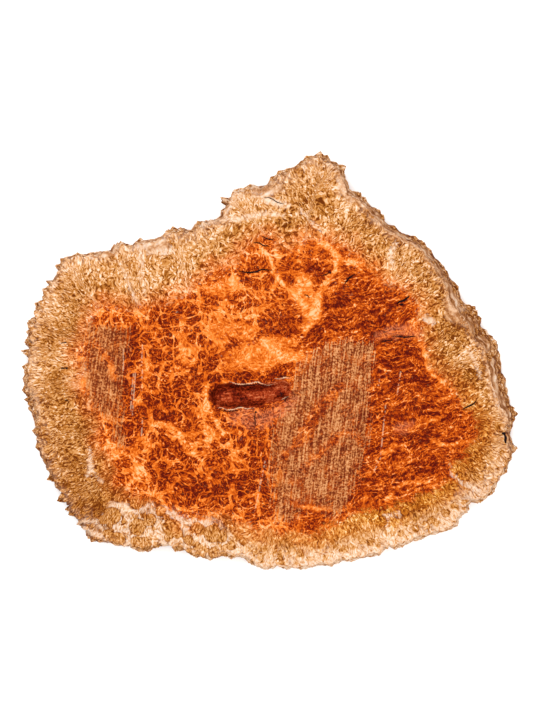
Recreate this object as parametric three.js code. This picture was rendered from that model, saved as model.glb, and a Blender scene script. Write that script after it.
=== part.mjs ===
// A eucalyptus burl board: one slab sawn across a burl, with both faces sawn flat, the knobbly and
// thorny natural edge left on all round, and a bark pocket open in the upper face.
// Millimetres, +Z up, figured face up, origin under the middle of the board on its flat underside.

import * as THREE from 'three';

// Driving dimensions
const THICKNESS = 40;
const WIDEST_LEVEL = 0.4;      // share of the thickness where the natural edge stands out furthest
const UNDERCUT = 7;            // how far the edge draws in again from there to the underside
const SWELL = 1.6;             // depth of the broad hollows between the lumps of the edge
const THORN_SPACING = 7.2;     // between one thorn of the edge and the next
const LEAST_THORN = 2.2;       // height of the thorns where the outline is smooth
const THORN_REACH = 0.95;      // mean height elsewhere, as a share of the outline's own relief
const THORN_SPREAD = 0.5;      // how far that height varies either way
const POCKET_DEPTH = 13;
const SEED = 71;

const WOOD = { color: 0xc27a3c, roughness: 0.6, metalness: 0 };

// The outline seen from above, clockwise from the lower left, through each tooth and each notch
const OUTLINE = [
  [-188, -70], [-186, -65], [-187, -60], [-191, -56], [-187, -54], [-189, -47], [-191, -42],
  [-194, -38], [-192, -37], [-197, -31], [-193, -30], [-195, -28], [-199, -24], [-196, -20],
  [-198, -15], [-196, -8], [-199, -5], [-193, -2], [-193, 2], [-196, 4], [-200, 8], [-192, 9],
  [-197, 15], [-192, 20], [-195, 22], [-193, 27], [-195, 30], [-193, 33], [-187, 35],
  [-189, 40], [-187, 43], [-189, 46], [-185, 47], [-181, 48], [-182, 50], [-181, 52],
  [-183, 57], [-179, 59], [-176, 60], [-180, 64], [-173, 64], [-169, 72], [-173, 76],
  [-167, 78], [-168, 82], [-163, 83], [-157, 84], [-154, 87], [-151, 85], [-141, 87],
  [-127, 88], [-124, 94], [-119, 96], [-111, 92], [-106, 96], [-103, 99], [-101, 96],
  [-87, 99], [-83, 104], [-77, 108], [-75, 106], [-71, 107], [-63, 104], [-58, 112],
  [-52, 112], [-47, 113], [-43, 113], [-39, 116], [-39, 120], [-34, 124], [-39, 126],
  [-40, 131], [-32, 130], [-29, 137], [-24, 138], [-19, 139], [-15, 142], [-9, 140],
  [-3, 140], [0, 144], [1, 148], [7, 152], [14, 154], [20, 155], [25, 160], [29, 164],
  [36, 164], [41, 168], [43, 166], [47, 165], [49, 160], [56, 158], [62, 156], [60, 151],
  [64, 141], [65, 136], [73, 135], [78, 130], [82, 123], [89, 121], [92, 117], [93, 111],
  [95, 109], [101, 108], [109, 101], [117, 100], [123, 96], [129, 90], [134, 82], [140, 76],
  [147, 65], [152, 59], [153, 52], [157, 45], [165, 44], [171, 33], [170, 26], [175, 24],
  [182, 16], [185, 8], [185, 5], [187, -8], [190, -16], [192, -28], [193, -36], [197, -38],
  [196, -40], [200, -42], [197, -48], [193, -59], [196, -68], [200, -70], [194, -76],
  [195, -78], [191, -84], [191, -90], [185, -93], [182, -100], [181, -105], [175, -110],
  [169, -115], [159, -115], [161, -120], [153, -126], [151, -133], [145, -136], [137, -139],
  [127, -140], [122, -144], [114, -145], [107, -150], [101, -152], [96, -149], [88, -157],
  [76, -158], [65, -162], [59, -160], [50, -166], [41, -164], [26, -168], [13, -168],
  [6, -164], [5, -168], [-4, -168], [-15, -164], [-21, -158], [-26, -157], [-31, -160],
  [-34, -157], [-42, -158], [-47, -161], [-55, -157], [-59, -159], [-63, -156], [-68, -152],
  [-76, -154], [-78, -148], [-90, -150], [-97, -154], [-105, -154], [-111, -149],
  [-122, -149], [-128, -146], [-143, -146], [-148, -141], [-147, -136], [-155, -132],
  [-152, -128], [-157, -125], [-162, -124], [-161, -121], [-165, -120], [-160, -116],
  [-171, -113], [-166, -105], [-172, -102], [-172, -97], [-179, -96], [-175, -91],
  [-179, -86], [-179, -84], [-183, -78], [-185, -72],
];

// How far the sawn upper face is drawn in from the bare edge, by direction from the middle in
// degrees from +X
const EDGE_SLOPE = [
  [0, 10], [9, 10], [14, 11], [26, 6], [45, 4.5], [70, 3], [110, 2.5], [150, 2], [180, 2.5],
  [190, 6.5], [200, 2.5], [230, 2], [270, 1.5], [310, 2], [335, 2.5], [345, 4], [352, 10],
  [360, 10],
];

// The rim of the bark pocket, clockwise from its left end, and the two ends of its deepest line
const POCKET_RIM = [
  [-49, -31], [-46, -25], [-42, -20], [-33, -18], [-23, -20], [-15, -19], [-6, -19], [5, -17],
  [12, -16], [17, -20], [17, -26], [13, -31], [5, -33], [-3, -34], [-9, -38], [-19, -37],
  [-27, -38], [-35, -38], [-43, -36],
];
const POCKET_DEEP_LINE = [[-34, -29], [4, -26]];
const POCKET_STEPS = [[0.9, 0.3], [0.66, 0.75], [0.36, 1]];   // share of the width, of the depth

const SAMPLES = 1200;                // points along the smoothed outline
const SMOOTHING = 8;                 // samples to each side, three times over
const NOTCH_WINDOW = 7;              // samples to each side in which a notch or tooth is sought
const ROW_HEIGHT = THORN_SPACING / 2;
const ROWS = Math.round(THICKNESS / ROW_HEIGHT);
const RIM_ROWS = [4, 5];             // the two rows whose thorns make the outline's teeth

// Repeatable random numbers from 0 to 1
function randomNumbers(seed) {
  let state = seed;
  return () => {
    state = (state + 0x6d2b79f5) | 0;
    let mixed = Math.imul(state ^ (state >>> 15), 1 | state);
    mixed = (mixed + Math.imul(mixed ^ (mixed >>> 7), 61 | mixed)) ^ mixed;
    return ((mixed ^ (mixed >>> 14)) >>> 0) / 4294967296;
  };
}

const wrap = (index, count) => ((index % count) + count) % count;

// The value of a closed list between its samples
function valueAt(values, place) {
  const low = Math.floor(place);
  const share = place - low;
  const first = values[wrap(low, values.length)];
  const second = values[wrap(low + 1, values.length)];
  return first * (1 - share) + second * share;
}

function movingMean(values, reach) {
  return values.map((_, index) => {
    let sum = 0;
    for (let step = -reach; step <= reach; step += 1) {
      sum += values[wrap(index + step, values.length)];
    }
    return sum / (2 * reach + 1);
  });
}

function movingPick(values, reach, pick) {
  return values.map((_, index) => {
    let best = values[index];
    for (let step = -reach; step <= reach; step += 1) {
      best = pick(best, values[wrap(index + step, values.length)]);
    }
    return best;
  });
}

// Evenly spaced points along a closed outline
function resample(points, count) {
  const lengths = points.map(([x, y], index) => {
    const [nextX, nextY] = points[wrap(index + 1, points.length)];
    return Math.hypot(nextX - x, nextY - y);
  });
  const total = lengths.reduce((sum, length) => sum + length, 0);
  const result = [];
  let side = 0;
  let walked = 0;
  for (let index = 0; index < count; index += 1) {
    const target = (total * index) / count;
    while (walked + lengths[side] < target) {
      walked += lengths[side];
      side += 1;
    }
    const share = (target - walked) / lengths[side];
    const [x, y] = points[side];
    const [nextX, nextY] = points[wrap(side + 1, points.length)];
    result.push([x + (nextX - x) * share, y + (nextY - y) * share]);
  }
  return result;
}

// The smooth line under the teeth, with its outward direction at each sample
function smoothLine(points) {
  let xs = points.map((point) => point[0]);
  let ys = points.map((point) => point[1]);
  for (let pass = 0; pass < 3; pass += 1) {
    xs = movingMean(xs, SMOOTHING);
    ys = movingMean(ys, SMOOTHING);
  }
  const outX = [];
  const outY = [];
  for (let index = 0; index < xs.length; index += 1) {
    const alongX = xs[wrap(index + 1, xs.length)] - xs[wrap(index - 1, xs.length)];
    const alongY = ys[wrap(index + 1, ys.length)] - ys[wrap(index - 1, ys.length)];
    const length = Math.hypot(alongX, alongY);
    outX.push(-alongY / length);
    outY.push(alongX / length);
  }
  return { xs, ys, outX, outY };
}

// How far out the outline crosses the outward direction of one sample of the smooth line
function outlineReach(line, index, points, furthest) {
  const x = line.xs[index];
  const y = line.ys[index];
  const dx = line.outX[index];
  const dy = line.outY[index];
  let best = -furthest;
  for (let side = 0; side < points.length; side += 1) {
    const [startX, startY] = points[side];
    const [endX, endY] = points[wrap(side + 1, points.length)];
    const startAcross = (startX - x) * dy - (startY - y) * dx;
    const endAcross = (endX - x) * dy - (endY - y) * dx;
    if (startAcross > 0 !== endAcross > 0) {
      const share = startAcross / (startAcross - endAcross);
      const crossX = startX + (endX - startX) * share - x;
      const crossY = startY + (endY - startY) * share - y;
      const distance = crossX * dx + crossY * dy;
      if (Math.abs(distance) < furthest && distance > best) {
        best = distance;
      }
    }
  }
  return best;
}

// The slope of the natural edge at a point of the outline
function slopeAt(x, y) {
  const bearing = wrap((Math.atan2(y, x) * 180) / Math.PI, 360);
  const next = EDGE_SLOPE.findIndex(([limit]) => limit >= bearing);
  if (next === 0) {
    return EDGE_SLOPE[0][1];
  }
  const [lowBearing, lowSlope] = EDGE_SLOPE[next - 1];
  const [highBearing, highSlope] = EDGE_SLOPE[next];
  const share = (bearing - lowBearing) / (highBearing - lowBearing);
  return lowSlope + (highSlope - lowSlope) * share;
}

// The natural edge: its smooth line, bare level, thorn height and slope at each sample
function readEdge() {
  const line = smoothLine(resample(OUTLINE, SAMPLES));
  const furthest = 16;
  const reach = line.xs.map((_, index) => outlineReach(line, index, OUTLINE, furthest));
  const notches = movingMean(movingPick(reach, NOTCH_WINDOW, Math.min), NOTCH_WINDOW);
  const teeth = movingMean(movingPick(reach, NOTCH_WINDOW, Math.max), NOTCH_WINDOW);
  const bare = teeth.map((tooth, index) => Math.min(notches[index], tooth - LEAST_THORN));
  const relief = teeth.map((tooth, index) => tooth - bare[index]);
  const slope = line.xs.map((x, index) => slopeAt(x, line.ys[index]));
  return { ...line, reach, bare, relief, slope: movingMean(slope, NOTCH_WINDOW) };
}

// Where the bare edge lies under its thorns, out from the smooth line, at a share of the thickness
function bareOffset(edge, place, level) {
  const above = Math.max(0, (level - WIDEST_LEVEL) / (1 - WIDEST_LEVEL));
  const below = Math.max(0, (WIDEST_LEVEL - level) / WIDEST_LEVEL);
  const drawnIn = valueAt(edge.slope, place) * above ** 1.4 + UNDERCUT * below ** 2;
  const turn = (2 * Math.PI * place) / SAMPLES;
  const lumps = Math.sin(23 * turn + 5 * level) * Math.cos(41 * turn - 7 * level);
  const hollow = SWELL * (0.5 + 0.5 * lumps) * Math.max(above, below);
  return Math.min(valueAt(edge.bare, place), valueAt(edge.reach, place)) - drawnIn - hollow;
}

// The sample within half a thorn's width where the outline stands out furthest
function toothPlace(edge, place, halfWidth) {
  let best = place;
  for (let step = -halfWidth; step <= halfWidth; step += 0.5) {
    if (valueAt(edge.reach, place + step) > valueAt(edge.reach, best)) {
      best = place + step;
    }
  }
  return best;
}

// Rows of points up the edge; every third one is the tip of a six-sided thorn
function edgeRows(edge) {
  const random = randomNumbers(SEED);
  const perimeter = SAMPLES * Math.hypot(edge.xs[1] - edge.xs[0], edge.ys[1] - edge.ys[0]);
  const pointSpacing = THORN_SPACING / Math.sqrt(3);
  const columns = 3 * Math.round(perimeter / pointSpacing / 3);
  const samplesPerColumn = SAMPLES / columns;
  const rows = [];
  for (let row = 0; row <= ROWS; row += 1) {
    const points = [];
    const sawn = row === 0 || row === ROWS;
    for (let column = 0; column < columns; column += 1) {
      const isTip = wrap(column - Math.floor(row / 2) - row, 3) === 0;
      const sideways = (random() - 0.5) * 0.45 * samplesPerColumn;
      const lift = sawn ? 0 : (random() - 0.5) * 0.4 * ROW_HEIGHT;
      const vigour = 1 + (random() * 2 - 1) * THORN_SPREAD;
      const z = (THICKNESS * row) / ROWS + lift;
      let place = (column + 0.5 * (row % 2)) * samplesPerColumn + sideways;
      if (isTip && RIM_ROWS.includes(row)) {
        place = toothPlace(edge, place, 0.7 * samplesPerColumn);
      }
      let offset = bareOffset(edge, place, z / THICKNESS);
      if (isTip) {
        const room = valueAt(edge.reach, place) - offset;
        const wanted = THORN_REACH * vigour * valueAt(edge.relief, place) * (sawn ? 0.8 : 1);
        offset += RIM_ROWS.includes(row) ? room : Math.min(room, wanted);
      }
      const x = valueAt(edge.xs, place) + valueAt(edge.outX, place) * offset;
      const y = valueAt(edge.ys, place) + valueAt(edge.outY, place) * offset;
      points.push([x, y, z]);
    }
    rows.push(points);
  }
  return rows;
}

// Rings of points down the bark pocket, drawn in towards its deepest line
function pocketRings() {
  const [start, end] = POCKET_DEEP_LINE;
  const lineX = end[0] - start[0];
  const lineY = end[1] - start[1];
  const lengthSquared = lineX ** 2 + lineY ** 2;
  const ring = (width, depth) => POCKET_RIM.map(([x, y]) => {
    const along = ((x - start[0]) * lineX + (y - start[1]) * lineY) / lengthSquared;
    const share = THREE.MathUtils.clamp(along, 0, 1);
    const centreX = start[0] + lineX * share;
    const centreY = start[1] + lineY * share;
    return [
      centreX + (x - centreX) * width,
      centreY + (y - centreY) * width,
      THICKNESS - POCKET_DEPTH * depth,
    ];
  });
  return [ring(1, 0), ...POCKET_STEPS.map(([width, depth]) => ring(width, depth))];
}

// Faces of a flat polygon with holes, as indices into the outer ring and then the holes
function flatFaces(outer, holes, facesUp) {
  const flat = (points) => points.map(([x, y]) => new THREE.Vector2(x, y));
  const contour = flat(outer);
  const holeRings = holes.map(flat);
  const all = contour.concat(...holeRings);
  return THREE.ShapeUtils.triangulateShape(contour, holeRings).map(([a, b, c]) => {
    const turn = all[b].clone().sub(all[a]).cross(all[c].clone().sub(all[a]));
    return turn > 0 === facesUp ? [a, b, c] : [a, c, b];
  });
}

// Collects rings of points and the faces between them in one closed surface
class Surface {
  constructor() {
    this.positions = [];
    this.indices = [];
  }

  addRing(points) {
    const first = this.positions.length / 3;
    points.forEach((point) => this.positions.push(...point));
    return points.map((_, index) => first + index);
  }

  addFlat(rings, faces) {
    const all = [].concat(...rings);
    faces.forEach(([a, b, c]) => this.indices.push(all[a], all[b], all[c]));
  }

  // Two rings of the same count, the second to the left of the first as they run
  addBand(low, high, highIsShifted) {
    const count = low.length;
    for (let index = 0; index < count; index += 1) {
      const next = wrap(index + 1, count);
      const [a, b, c, d] = [low[index], low[next], high[index], high[next]];
      if (highIsShifted) {
        this.indices.push(a, b, c, b, d, c);
      } else {
        this.indices.push(a, d, c, a, b, d);
      }
    }
  }

  geometry() {
    const geometry = new THREE.BufferGeometry();
    geometry.setAttribute('position', new THREE.Float32BufferAttribute(this.positions, 3));
    geometry.setIndex(this.indices);
    geometry.computeVertexNormals();
    return geometry;
  }
}

function burlBoard() {
  const surface = new Surface();
  // Counter-clockwise from here on, so that every face looks outwards
  const rows = edgeRows(readEdge()).map((points) => points.reverse());
  const rings = rows.map((points) => surface.addRing(points));
  for (let row = 0; row < ROWS; row += 1) {
    surface.addBand(rings[row], rings[row + 1], row % 2 === 1);
  }
  surface.addFlat([rings[0]], flatFaces(rows[0], [], false));

  const pocket = pocketRings();
  const pocketRingIndices = pocket.map((points) => surface.addRing(points));
  surface.addFlat([rings[ROWS], pocketRingIndices[0]], flatFaces(rows[ROWS], [pocket[0]], true));
  for (let step = 0; step + 1 < pocket.length; step += 1) {
    surface.addBand(pocketRingIndices[step + 1], pocketRingIndices[step], false);
  }
  const floor = pocket.length - 1;
  surface.addFlat([pocketRingIndices[floor]], flatFaces(pocket[floor], [], true));

  const geometry = surface.geometry();
  geometry.computeBoundingBox();
  const centre = geometry.boundingBox.getCenter(new THREE.Vector3());
  geometry.translate(-centre.x, -centre.y, 0);
  const board = new THREE.Mesh(geometry, new THREE.MeshStandardMaterial(WOOD));
  board.name = 'burl_board';
  return board;
}

const group = new THREE.Group();
group.add(burlBoard());

export default group;
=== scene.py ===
import math

import bmesh
import bpy
import numpy as np
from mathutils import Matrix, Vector, noise
from mathutils.geometry import delaunay_2d_cdt


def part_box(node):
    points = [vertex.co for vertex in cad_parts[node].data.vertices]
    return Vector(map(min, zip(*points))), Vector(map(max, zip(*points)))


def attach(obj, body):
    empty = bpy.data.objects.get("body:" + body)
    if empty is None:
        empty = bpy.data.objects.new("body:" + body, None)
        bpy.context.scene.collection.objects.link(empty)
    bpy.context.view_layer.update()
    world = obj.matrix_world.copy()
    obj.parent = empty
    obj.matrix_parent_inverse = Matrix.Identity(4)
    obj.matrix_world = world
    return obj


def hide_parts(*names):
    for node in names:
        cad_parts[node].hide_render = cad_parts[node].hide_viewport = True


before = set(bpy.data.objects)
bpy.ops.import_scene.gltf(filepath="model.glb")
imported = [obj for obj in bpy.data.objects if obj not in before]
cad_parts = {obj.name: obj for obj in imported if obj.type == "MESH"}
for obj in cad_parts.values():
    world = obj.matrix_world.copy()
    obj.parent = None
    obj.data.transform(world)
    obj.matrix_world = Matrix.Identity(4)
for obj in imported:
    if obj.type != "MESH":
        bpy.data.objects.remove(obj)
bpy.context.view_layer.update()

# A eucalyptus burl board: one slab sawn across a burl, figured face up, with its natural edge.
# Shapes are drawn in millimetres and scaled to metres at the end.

METRES = 0.001
THICKNESS = 40.0

# The photograph's pixels on the board: its scale, and the pixel over the board's middle
MM_PER_PIXEL = 0.8
MIDDLE_PIXEL = (269.25, 360.5)
FRAME_PIXELS = (533, 711)

# The natural edge, as in the part's source
WIDEST_LEVEL = 0.4             # the height of the bulge, as a share of the thickness
UNDERCUT = 7.0
SLOPE_BEND = 1.4               # how the edge curves in above the bulge, and below it
UNDERCUT_BEND = 2
SWELL = 1.6                    # swellings and hollows along the edge, and their waves around it
SWELL_WAVES = (23, 41)
SWELL_SLANTS = (5, 7)
THORN_SPACING = 7.2
LEAST_THORN = 2.2
THORN_REACH = 0.95
THORN_SPREAD = 0.5
SIDE_JITTER = 0.45
LIFT_JITTER = 0.4
SAWN_THORN = 0.8               # how much of its height a thorn cut by the saw keeps
TOOTH_SEARCH = 0.7             # how far to the side, in columns, a rim thorn looks for its tooth
RIM_ROWS = (4, 5)
SEED = 71
SAMPLES = 1200
SMOOTHING = 8
SMOOTHING_PASSES = 3
REACH_LIMIT = 16.0             # the outline is looked for no further than this from the line
NOTCH_WINDOW = 7
OUTLINE = [
    (-188, -70), (-186, -65), (-187, -60), (-191, -56), (-187, -54), (-189, -47), (-191, -42),
    (-194, -38), (-192, -37), (-197, -31), (-193, -30), (-195, -28), (-199, -24), (-196, -20),
    (-198, -15), (-196, -8), (-199, -5), (-193, -2), (-193, 2), (-196, 4), (-200, 8), (-192, 9),
    (-197, 15), (-192, 20), (-195, 22), (-193, 27), (-195, 30), (-193, 33), (-187, 35),
    (-189, 40), (-187, 43), (-189, 46), (-185, 47), (-181, 48), (-182, 50), (-181, 52),
    (-183, 57), (-179, 59), (-176, 60), (-180, 64), (-173, 64), (-169, 72), (-173, 76),
    (-167, 78), (-168, 82), (-163, 83), (-157, 84), (-154, 87), (-151, 85), (-141, 87),
    (-127, 88), (-124, 94), (-119, 96), (-111, 92), (-106, 96), (-103, 99), (-101, 96),
    (-87, 99), (-83, 104), (-77, 108), (-75, 106), (-71, 107), (-63, 104), (-58, 112),
    (-52, 112), (-47, 113), (-43, 113), (-39, 116), (-39, 120), (-34, 124), (-39, 126),
    (-40, 131), (-32, 130), (-29, 137), (-24, 138), (-19, 139), (-15, 142), (-9, 140),
    (-3, 140), (0, 144), (1, 148), (7, 152), (14, 154), (20, 155), (25, 160), (29, 164),
    (36, 164), (41, 168), (43, 166), (47, 165), (49, 160), (56, 158), (62, 156), (60, 151),
    (64, 141), (65, 136), (73, 135), (78, 130), (82, 123), (89, 121), (92, 117), (93, 111),
    (95, 109), (101, 108), (109, 101), (117, 100), (123, 96), (129, 90), (134, 82), (140, 76),
    (147, 65), (152, 59), (153, 52), (157, 45), (165, 44), (171, 33), (170, 26), (175, 24),
    (182, 16), (185, 8), (185, 5), (187, -8), (190, -16), (192, -28), (193, -36), (197, -38),
    (196, -40), (200, -42), (197, -48), (193, -59), (196, -68), (200, -70), (194, -76),
    (195, -78), (191, -84), (191, -90), (185, -93), (182, -100), (181, -105), (175, -110),
    (169, -115), (159, -115), (161, -120), (153, -126), (151, -133), (145, -136), (137, -139),
    (127, -140), (122, -144), (114, -145), (107, -150), (101, -152), (96, -149), (88, -157),
    (76, -158), (65, -162), (59, -160), (50, -166), (41, -164), (26, -168), (13, -168),
    (6, -164), (5, -168), (-4, -168), (-15, -164), (-21, -158), (-26, -157), (-31, -160),
    (-34, -157), (-42, -158), (-47, -161), (-55, -157), (-59, -159), (-63, -156), (-68, -152),
    (-76, -154), (-78, -148), (-90, -150), (-97, -154), (-105, -154), (-111, -149),
    (-122, -149), (-128, -146), (-143, -146), (-148, -141), (-147, -136), (-155, -132),
    (-152, -128), (-157, -125), (-162, -124), (-161, -121), (-165, -120), (-160, -116),
    (-171, -113), (-166, -105), (-172, -102), (-172, -97), (-179, -96), (-175, -91),
    (-179, -86), (-179, -84), (-183, -78), (-185, -72),
]

# How far the sawn upper face is drawn in from the bare edge, by direction from +X in degrees
EDGE_SLOPE = [
    (0, 10), (9, 10), (14, 11), (26, 6), (45, 4.5), (70, 3), (110, 2.5), (150, 2), (180, 2.5),
    (190, 6.5), (200, 2.5), (230, 2), (270, 1.5), (310, 2), (335, 2.5), (345, 4), (352, 10),
    (360, 10),
]

# How much of a thorn's height is left off the outline, by direction: the right edge is smoother
THORN_WEAR = [(0, 0.4), (75, 0.5), (100, 0.9), (330, 1), (350, 0.4), (360, 0.4)]

# A weathered thorn: its radius in spacings and how that varies from one to the next, its flutes
# as (count, depth, turn from one thorn to the next), and how blunt its point is
THORN_RADIUS = (0.60, 0.05, 7.1)
THORN_FLUTES = ((5, 0.10, 1.0), (9, 0.06, 2.3))
THORN_POINT = 0.8

# The bark pocket's rim, clockwise from its left end, and its depth
POCKET_RIM = [
    (-49, -31), (-46, -25), (-42, -20), (-33, -18), (-23, -20), (-15, -19), (-6, -19), (5, -17),
    (12, -16), (17, -20), (17, -26), (13, -31), (5, -33), (-3, -34), (-9, -38), (-19, -37),
    (-27, -38), (-35, -38), (-43, -36),
]
POCKET_DEPTH = 12.5
POCKET_SLOPE = 8.0             # how far in from the rim the pocket reaches its floor
POCKET_BOWL = (2.2, 0.8)       # how its wall curves down to the floor
POCKET_RIBS = (0.45, 1.3, 3.2)           # how the floor's ribs are squeezed, and their size
RIB_SHARE = (0.86, 0.16)       # the depth between ribs, and what they change of it
RIM_POINTS = 104
RIM_WANDER = (4.0, 0.9)        # size and height of the rim's small bends

# Small unevenness, in millimetres: its size and its height
EDGE_GRAIN = (3.0, 0.35)
EDGE_WEAR = 0.1
FACE_WAVES = (26.0, 0.3)
POCKET_LAYER = 4.0             # the heights at which the noise of pocket and face is read
FACE_LAYER = 9.0
FLAT_MARGIN = 4.0              # the face is flat at its rim, and uneven from this far in
FRACTAL = (0.9, 2.0, 3)        # how its finer parts fade, how much finer each is, and their count

# Cracks wander in waves, mostly up and down the photograph, and taper to both ends
CRACK_WANDER = (2.9, 0.25)
SIDEWAYS_WANDER = 0.3
CRACK_TAPER = 0.6
LEAST_HALF_WIDTH = 0.05

# Fineness of the visual mesh, in millimetres, and how near free points may come to drawn lines
WALL_ROWS = 34
FACE_SPACING = 1.95
POCKET_SPACING = 1.15
UNDERSIDE_SPACING = 6.0
LINE_CLEARANCE = 0.75
OUTLINE_CLEARANCE = 0.9
RIM_CLEARANCE = (1.0, 0.5)     # outside and inside the pocket's rim
GRID_SEED = 5
SPACING_JITTER = 0.18
FAR = 1e9


def on_board(px, py):
    """A pixel of the photograph as a place on the board, in millimetres."""
    return (px - MIDDLE_PIXEL[0]) * MM_PER_PIXEL, (MIDDLE_PIXEL[1] - py) * MM_PER_PIXEL


def line_on_board(pixels):
    """A row of the photograph's pixels as points on the board."""
    return np.array([on_board(*point[:2]) for point in pixels])


def random_numbers(seed):
    """Repeatable random numbers from 0 to 1, the same as in the part's source."""
    mask = 0xFFFFFFFF
    state = seed
    while True:
        state = (state + 0x6D2B79F5) & mask
        mixed = ((state ^ (state >> 15)) * (1 | state)) & mask
        mixed = ((mixed + (((mixed ^ (mixed >> 7)) * (61 | mixed)) & mask)) & mask) ^ mixed
        yield (mixed ^ (mixed >> 14)) / 4294967296


def value_at(values, place):
    """The value at a place between the samples around the board."""
    place = np.asarray(place, float) % len(values)
    low = np.floor(place).astype(int)
    share = place - low
    return values[low % len(values)] * (1 - share) + values[(low + 1) % len(values)] * share


def neighbours(values, reach):
    """The values seen from every sample up to that reach to either side."""
    return [np.roll(values, step) for step in range(-reach, reach + 1)]


def moving_mean(values, reach):
    """Each value's mean with its neighbours around the board."""
    return sum(neighbours(values, reach)) / (2 * reach + 1)


def walked_along(line):
    """How far along a line each of its points lies."""
    return np.concatenate([[0], np.cumsum(np.hypot(*np.diff(line, axis=0).T))])


def points_along(line, distances):
    """The points that lie at these distances along a line."""
    walked = walked_along(line)
    return np.stack([np.interp(distances, walked, line[:, axis]) for axis in (0, 1)], 1)


def closed(outline):
    """The outline with its first point again at its end."""
    return np.vstack([outline, outline[:1]])


def resample(outline, count):
    """Evenly spaced points along a closed outline."""
    line = closed(outline)
    return points_along(line, walked_along(line)[-1] * np.arange(count) / count)


def outline_reach(line, outward, outline):
    """How far out the outline crosses each outward direction of the smooth line."""
    start = outline[None, :, :] - line[:, None, :]
    end = np.roll(outline, -1, axis=0)[None, :, :] - line[:, None, :]
    dx = outward[:, None, 0]
    dy = outward[:, None, 1]
    start_across = start[..., 0] * dy - start[..., 1] * dx
    end_across = end[..., 0] * dy - end[..., 1] * dx
    crosses = (start_across > 0) != (end_across > 0)
    share = start_across / np.where(crosses, start_across - end_across, 1)
    distance = ((start + (end - start) * share[..., None]) * outward[:, None, :]).sum(2)
    usable = crosses & (np.abs(distance) < REACH_LIMIT)
    return np.where(usable, distance, -REACH_LIMIT).max(1)


class Edge:
    """The natural edge: its smooth line, bare level, thorn height and slope at each sample."""

    def __init__(self):
        outline = np.array(OUTLINE, float)
        line = resample(outline, SAMPLES)
        for _ in range(SMOOTHING_PASSES):
            line = np.stack([moving_mean(line[:, axis], SMOOTHING) for axis in (0, 1)], 1)
        along = np.roll(line, -1, axis=0) - np.roll(line, 1, axis=0)
        along /= np.hypot(*along.T)[:, None]
        self.line = line
        self.outward = np.stack([-along[:, 1], along[:, 0]], 1)
        self.reach = outline_reach(line, self.outward, outline)
        near = neighbours(self.reach, NOTCH_WINDOW)
        lowest = moving_mean(np.minimum.reduce(near), NOTCH_WINDOW)
        teeth = moving_mean(np.maximum.reduce(near), NOTCH_WINDOW)
        self.bare = np.minimum(lowest, teeth - LEAST_THORN)
        self.relief = teeth - self.bare
        self.slope = moving_mean(by_bearing(line, EDGE_SLOPE), NOTCH_WINDOW)
        self.wear = by_bearing(line, THORN_WEAR)
        self.perimeter = SAMPLES * math.hypot(*(line[1] - line[0]))

    def bare_offset(self, place, level):
        """Where the bare edge lies under its thorns, out from the smooth line."""
        above = np.maximum(0, (level - WIDEST_LEVEL) / (1 - WIDEST_LEVEL))
        below = np.maximum(0, (WIDEST_LEVEL - level) / WIDEST_LEVEL)
        drawn_in = value_at(self.slope, place) * above ** SLOPE_BEND + UNDERCUT * below ** UNDERCUT_BEND
        turn = 2 * math.pi * place / SAMPLES
        rising = np.sin(SWELL_WAVES[0] * turn + SWELL_SLANTS[0] * level)
        falling = np.cos(SWELL_WAVES[1] * turn - SWELL_SLANTS[1] * level)
        hollow = SWELL * (0.5 + 0.5 * rising * falling) * np.maximum(above, below)
        ground = np.minimum(value_at(self.bare, place), value_at(self.reach, place))
        return ground - drawn_in - hollow

    def tooth_place(self, place, half_width):
        """The place within half a thorn's width where the outline stands out furthest."""
        steps = place + np.arange(-half_width, half_width + 1e-9, 0.5)
        steps = np.concatenate([[place], steps])
        return steps[np.argmax(value_at(self.reach, steps))]

    def point(self, place, offset):
        """The point that far out from the smooth line, as its x and y."""
        return [
            value_at(self.line[:, axis], place) + value_at(self.outward[:, axis], place) * offset
            for axis in (0, 1)
        ]


def thorns_of(edge):
    """Each thorn's place, height up the edge, base and height, and the middle of the whole board."""
    draw = random_numbers(SEED)
    row_height = THORN_SPACING / 2
    rows = round(THICKNESS / row_height)
    columns = 3 * round(edge.perimeter / (THORN_SPACING / math.sqrt(3)) / 3)
    samples_per_column = SAMPLES / columns
    thorns = []
    for row in range(rows + 1):
        sawn = row in (0, rows)
        on_rim = row in RIM_ROWS
        for column in range(columns):
            sideways = (next(draw) - 0.5) * SIDE_JITTER * samples_per_column
            lift = 0 if sawn else (next(draw) - 0.5) * LIFT_JITTER * row_height
            vigour = 1 + (next(draw) * 2 - 1) * THORN_SPREAD
            if (column - row // 2 - row) % 3:
                continue
            z = THICKNESS * row / rows + lift
            place = (column + 0.5 * (row % 2)) * samples_per_column + sideways
            if on_rim:
                place = edge.tooth_place(place, TOOTH_SEARCH * samples_per_column)
            offset = float(edge.bare_offset(place, z / THICKNESS))
            room = float(value_at(edge.reach, place)) - offset
            wanted = THORN_REACH * vigour * float(value_at(edge.relief, place))
            height = room if on_rim else min(room, wanted * (SAWN_THORN if sawn else 1))
            thorns.append((place, z, offset, height, on_rim, sawn))
    tips = np.array([edge.point(place, offset + height) for place, _, offset, height, _, _ in thorns])
    return thorns, (tips.min(0) + tips.max(0)) / 2


def wall_grid(thorns):
    """Places and heights of the wall's points; the one nearest to each thorn's tip is moved to it."""
    places = np.tile(np.arange(SAMPLES, dtype=float), (WALL_ROWS + 1, 1))
    heights = np.tile(THICKNESS * np.arange(WALL_ROWS + 1)[:, None] / WALL_ROWS, (1, SAMPLES))
    for place, z, _, _, _, sawn in thorns:
        row = round(z / THICKNESS * WALL_ROWS)
        column = round(place)
        if not sawn and 0 < row < WALL_ROWS:
            heights[row, column % SAMPLES] = z
        if 0 <= column < SAMPLES:
            places[row, column] = place
    return places, heights


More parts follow.
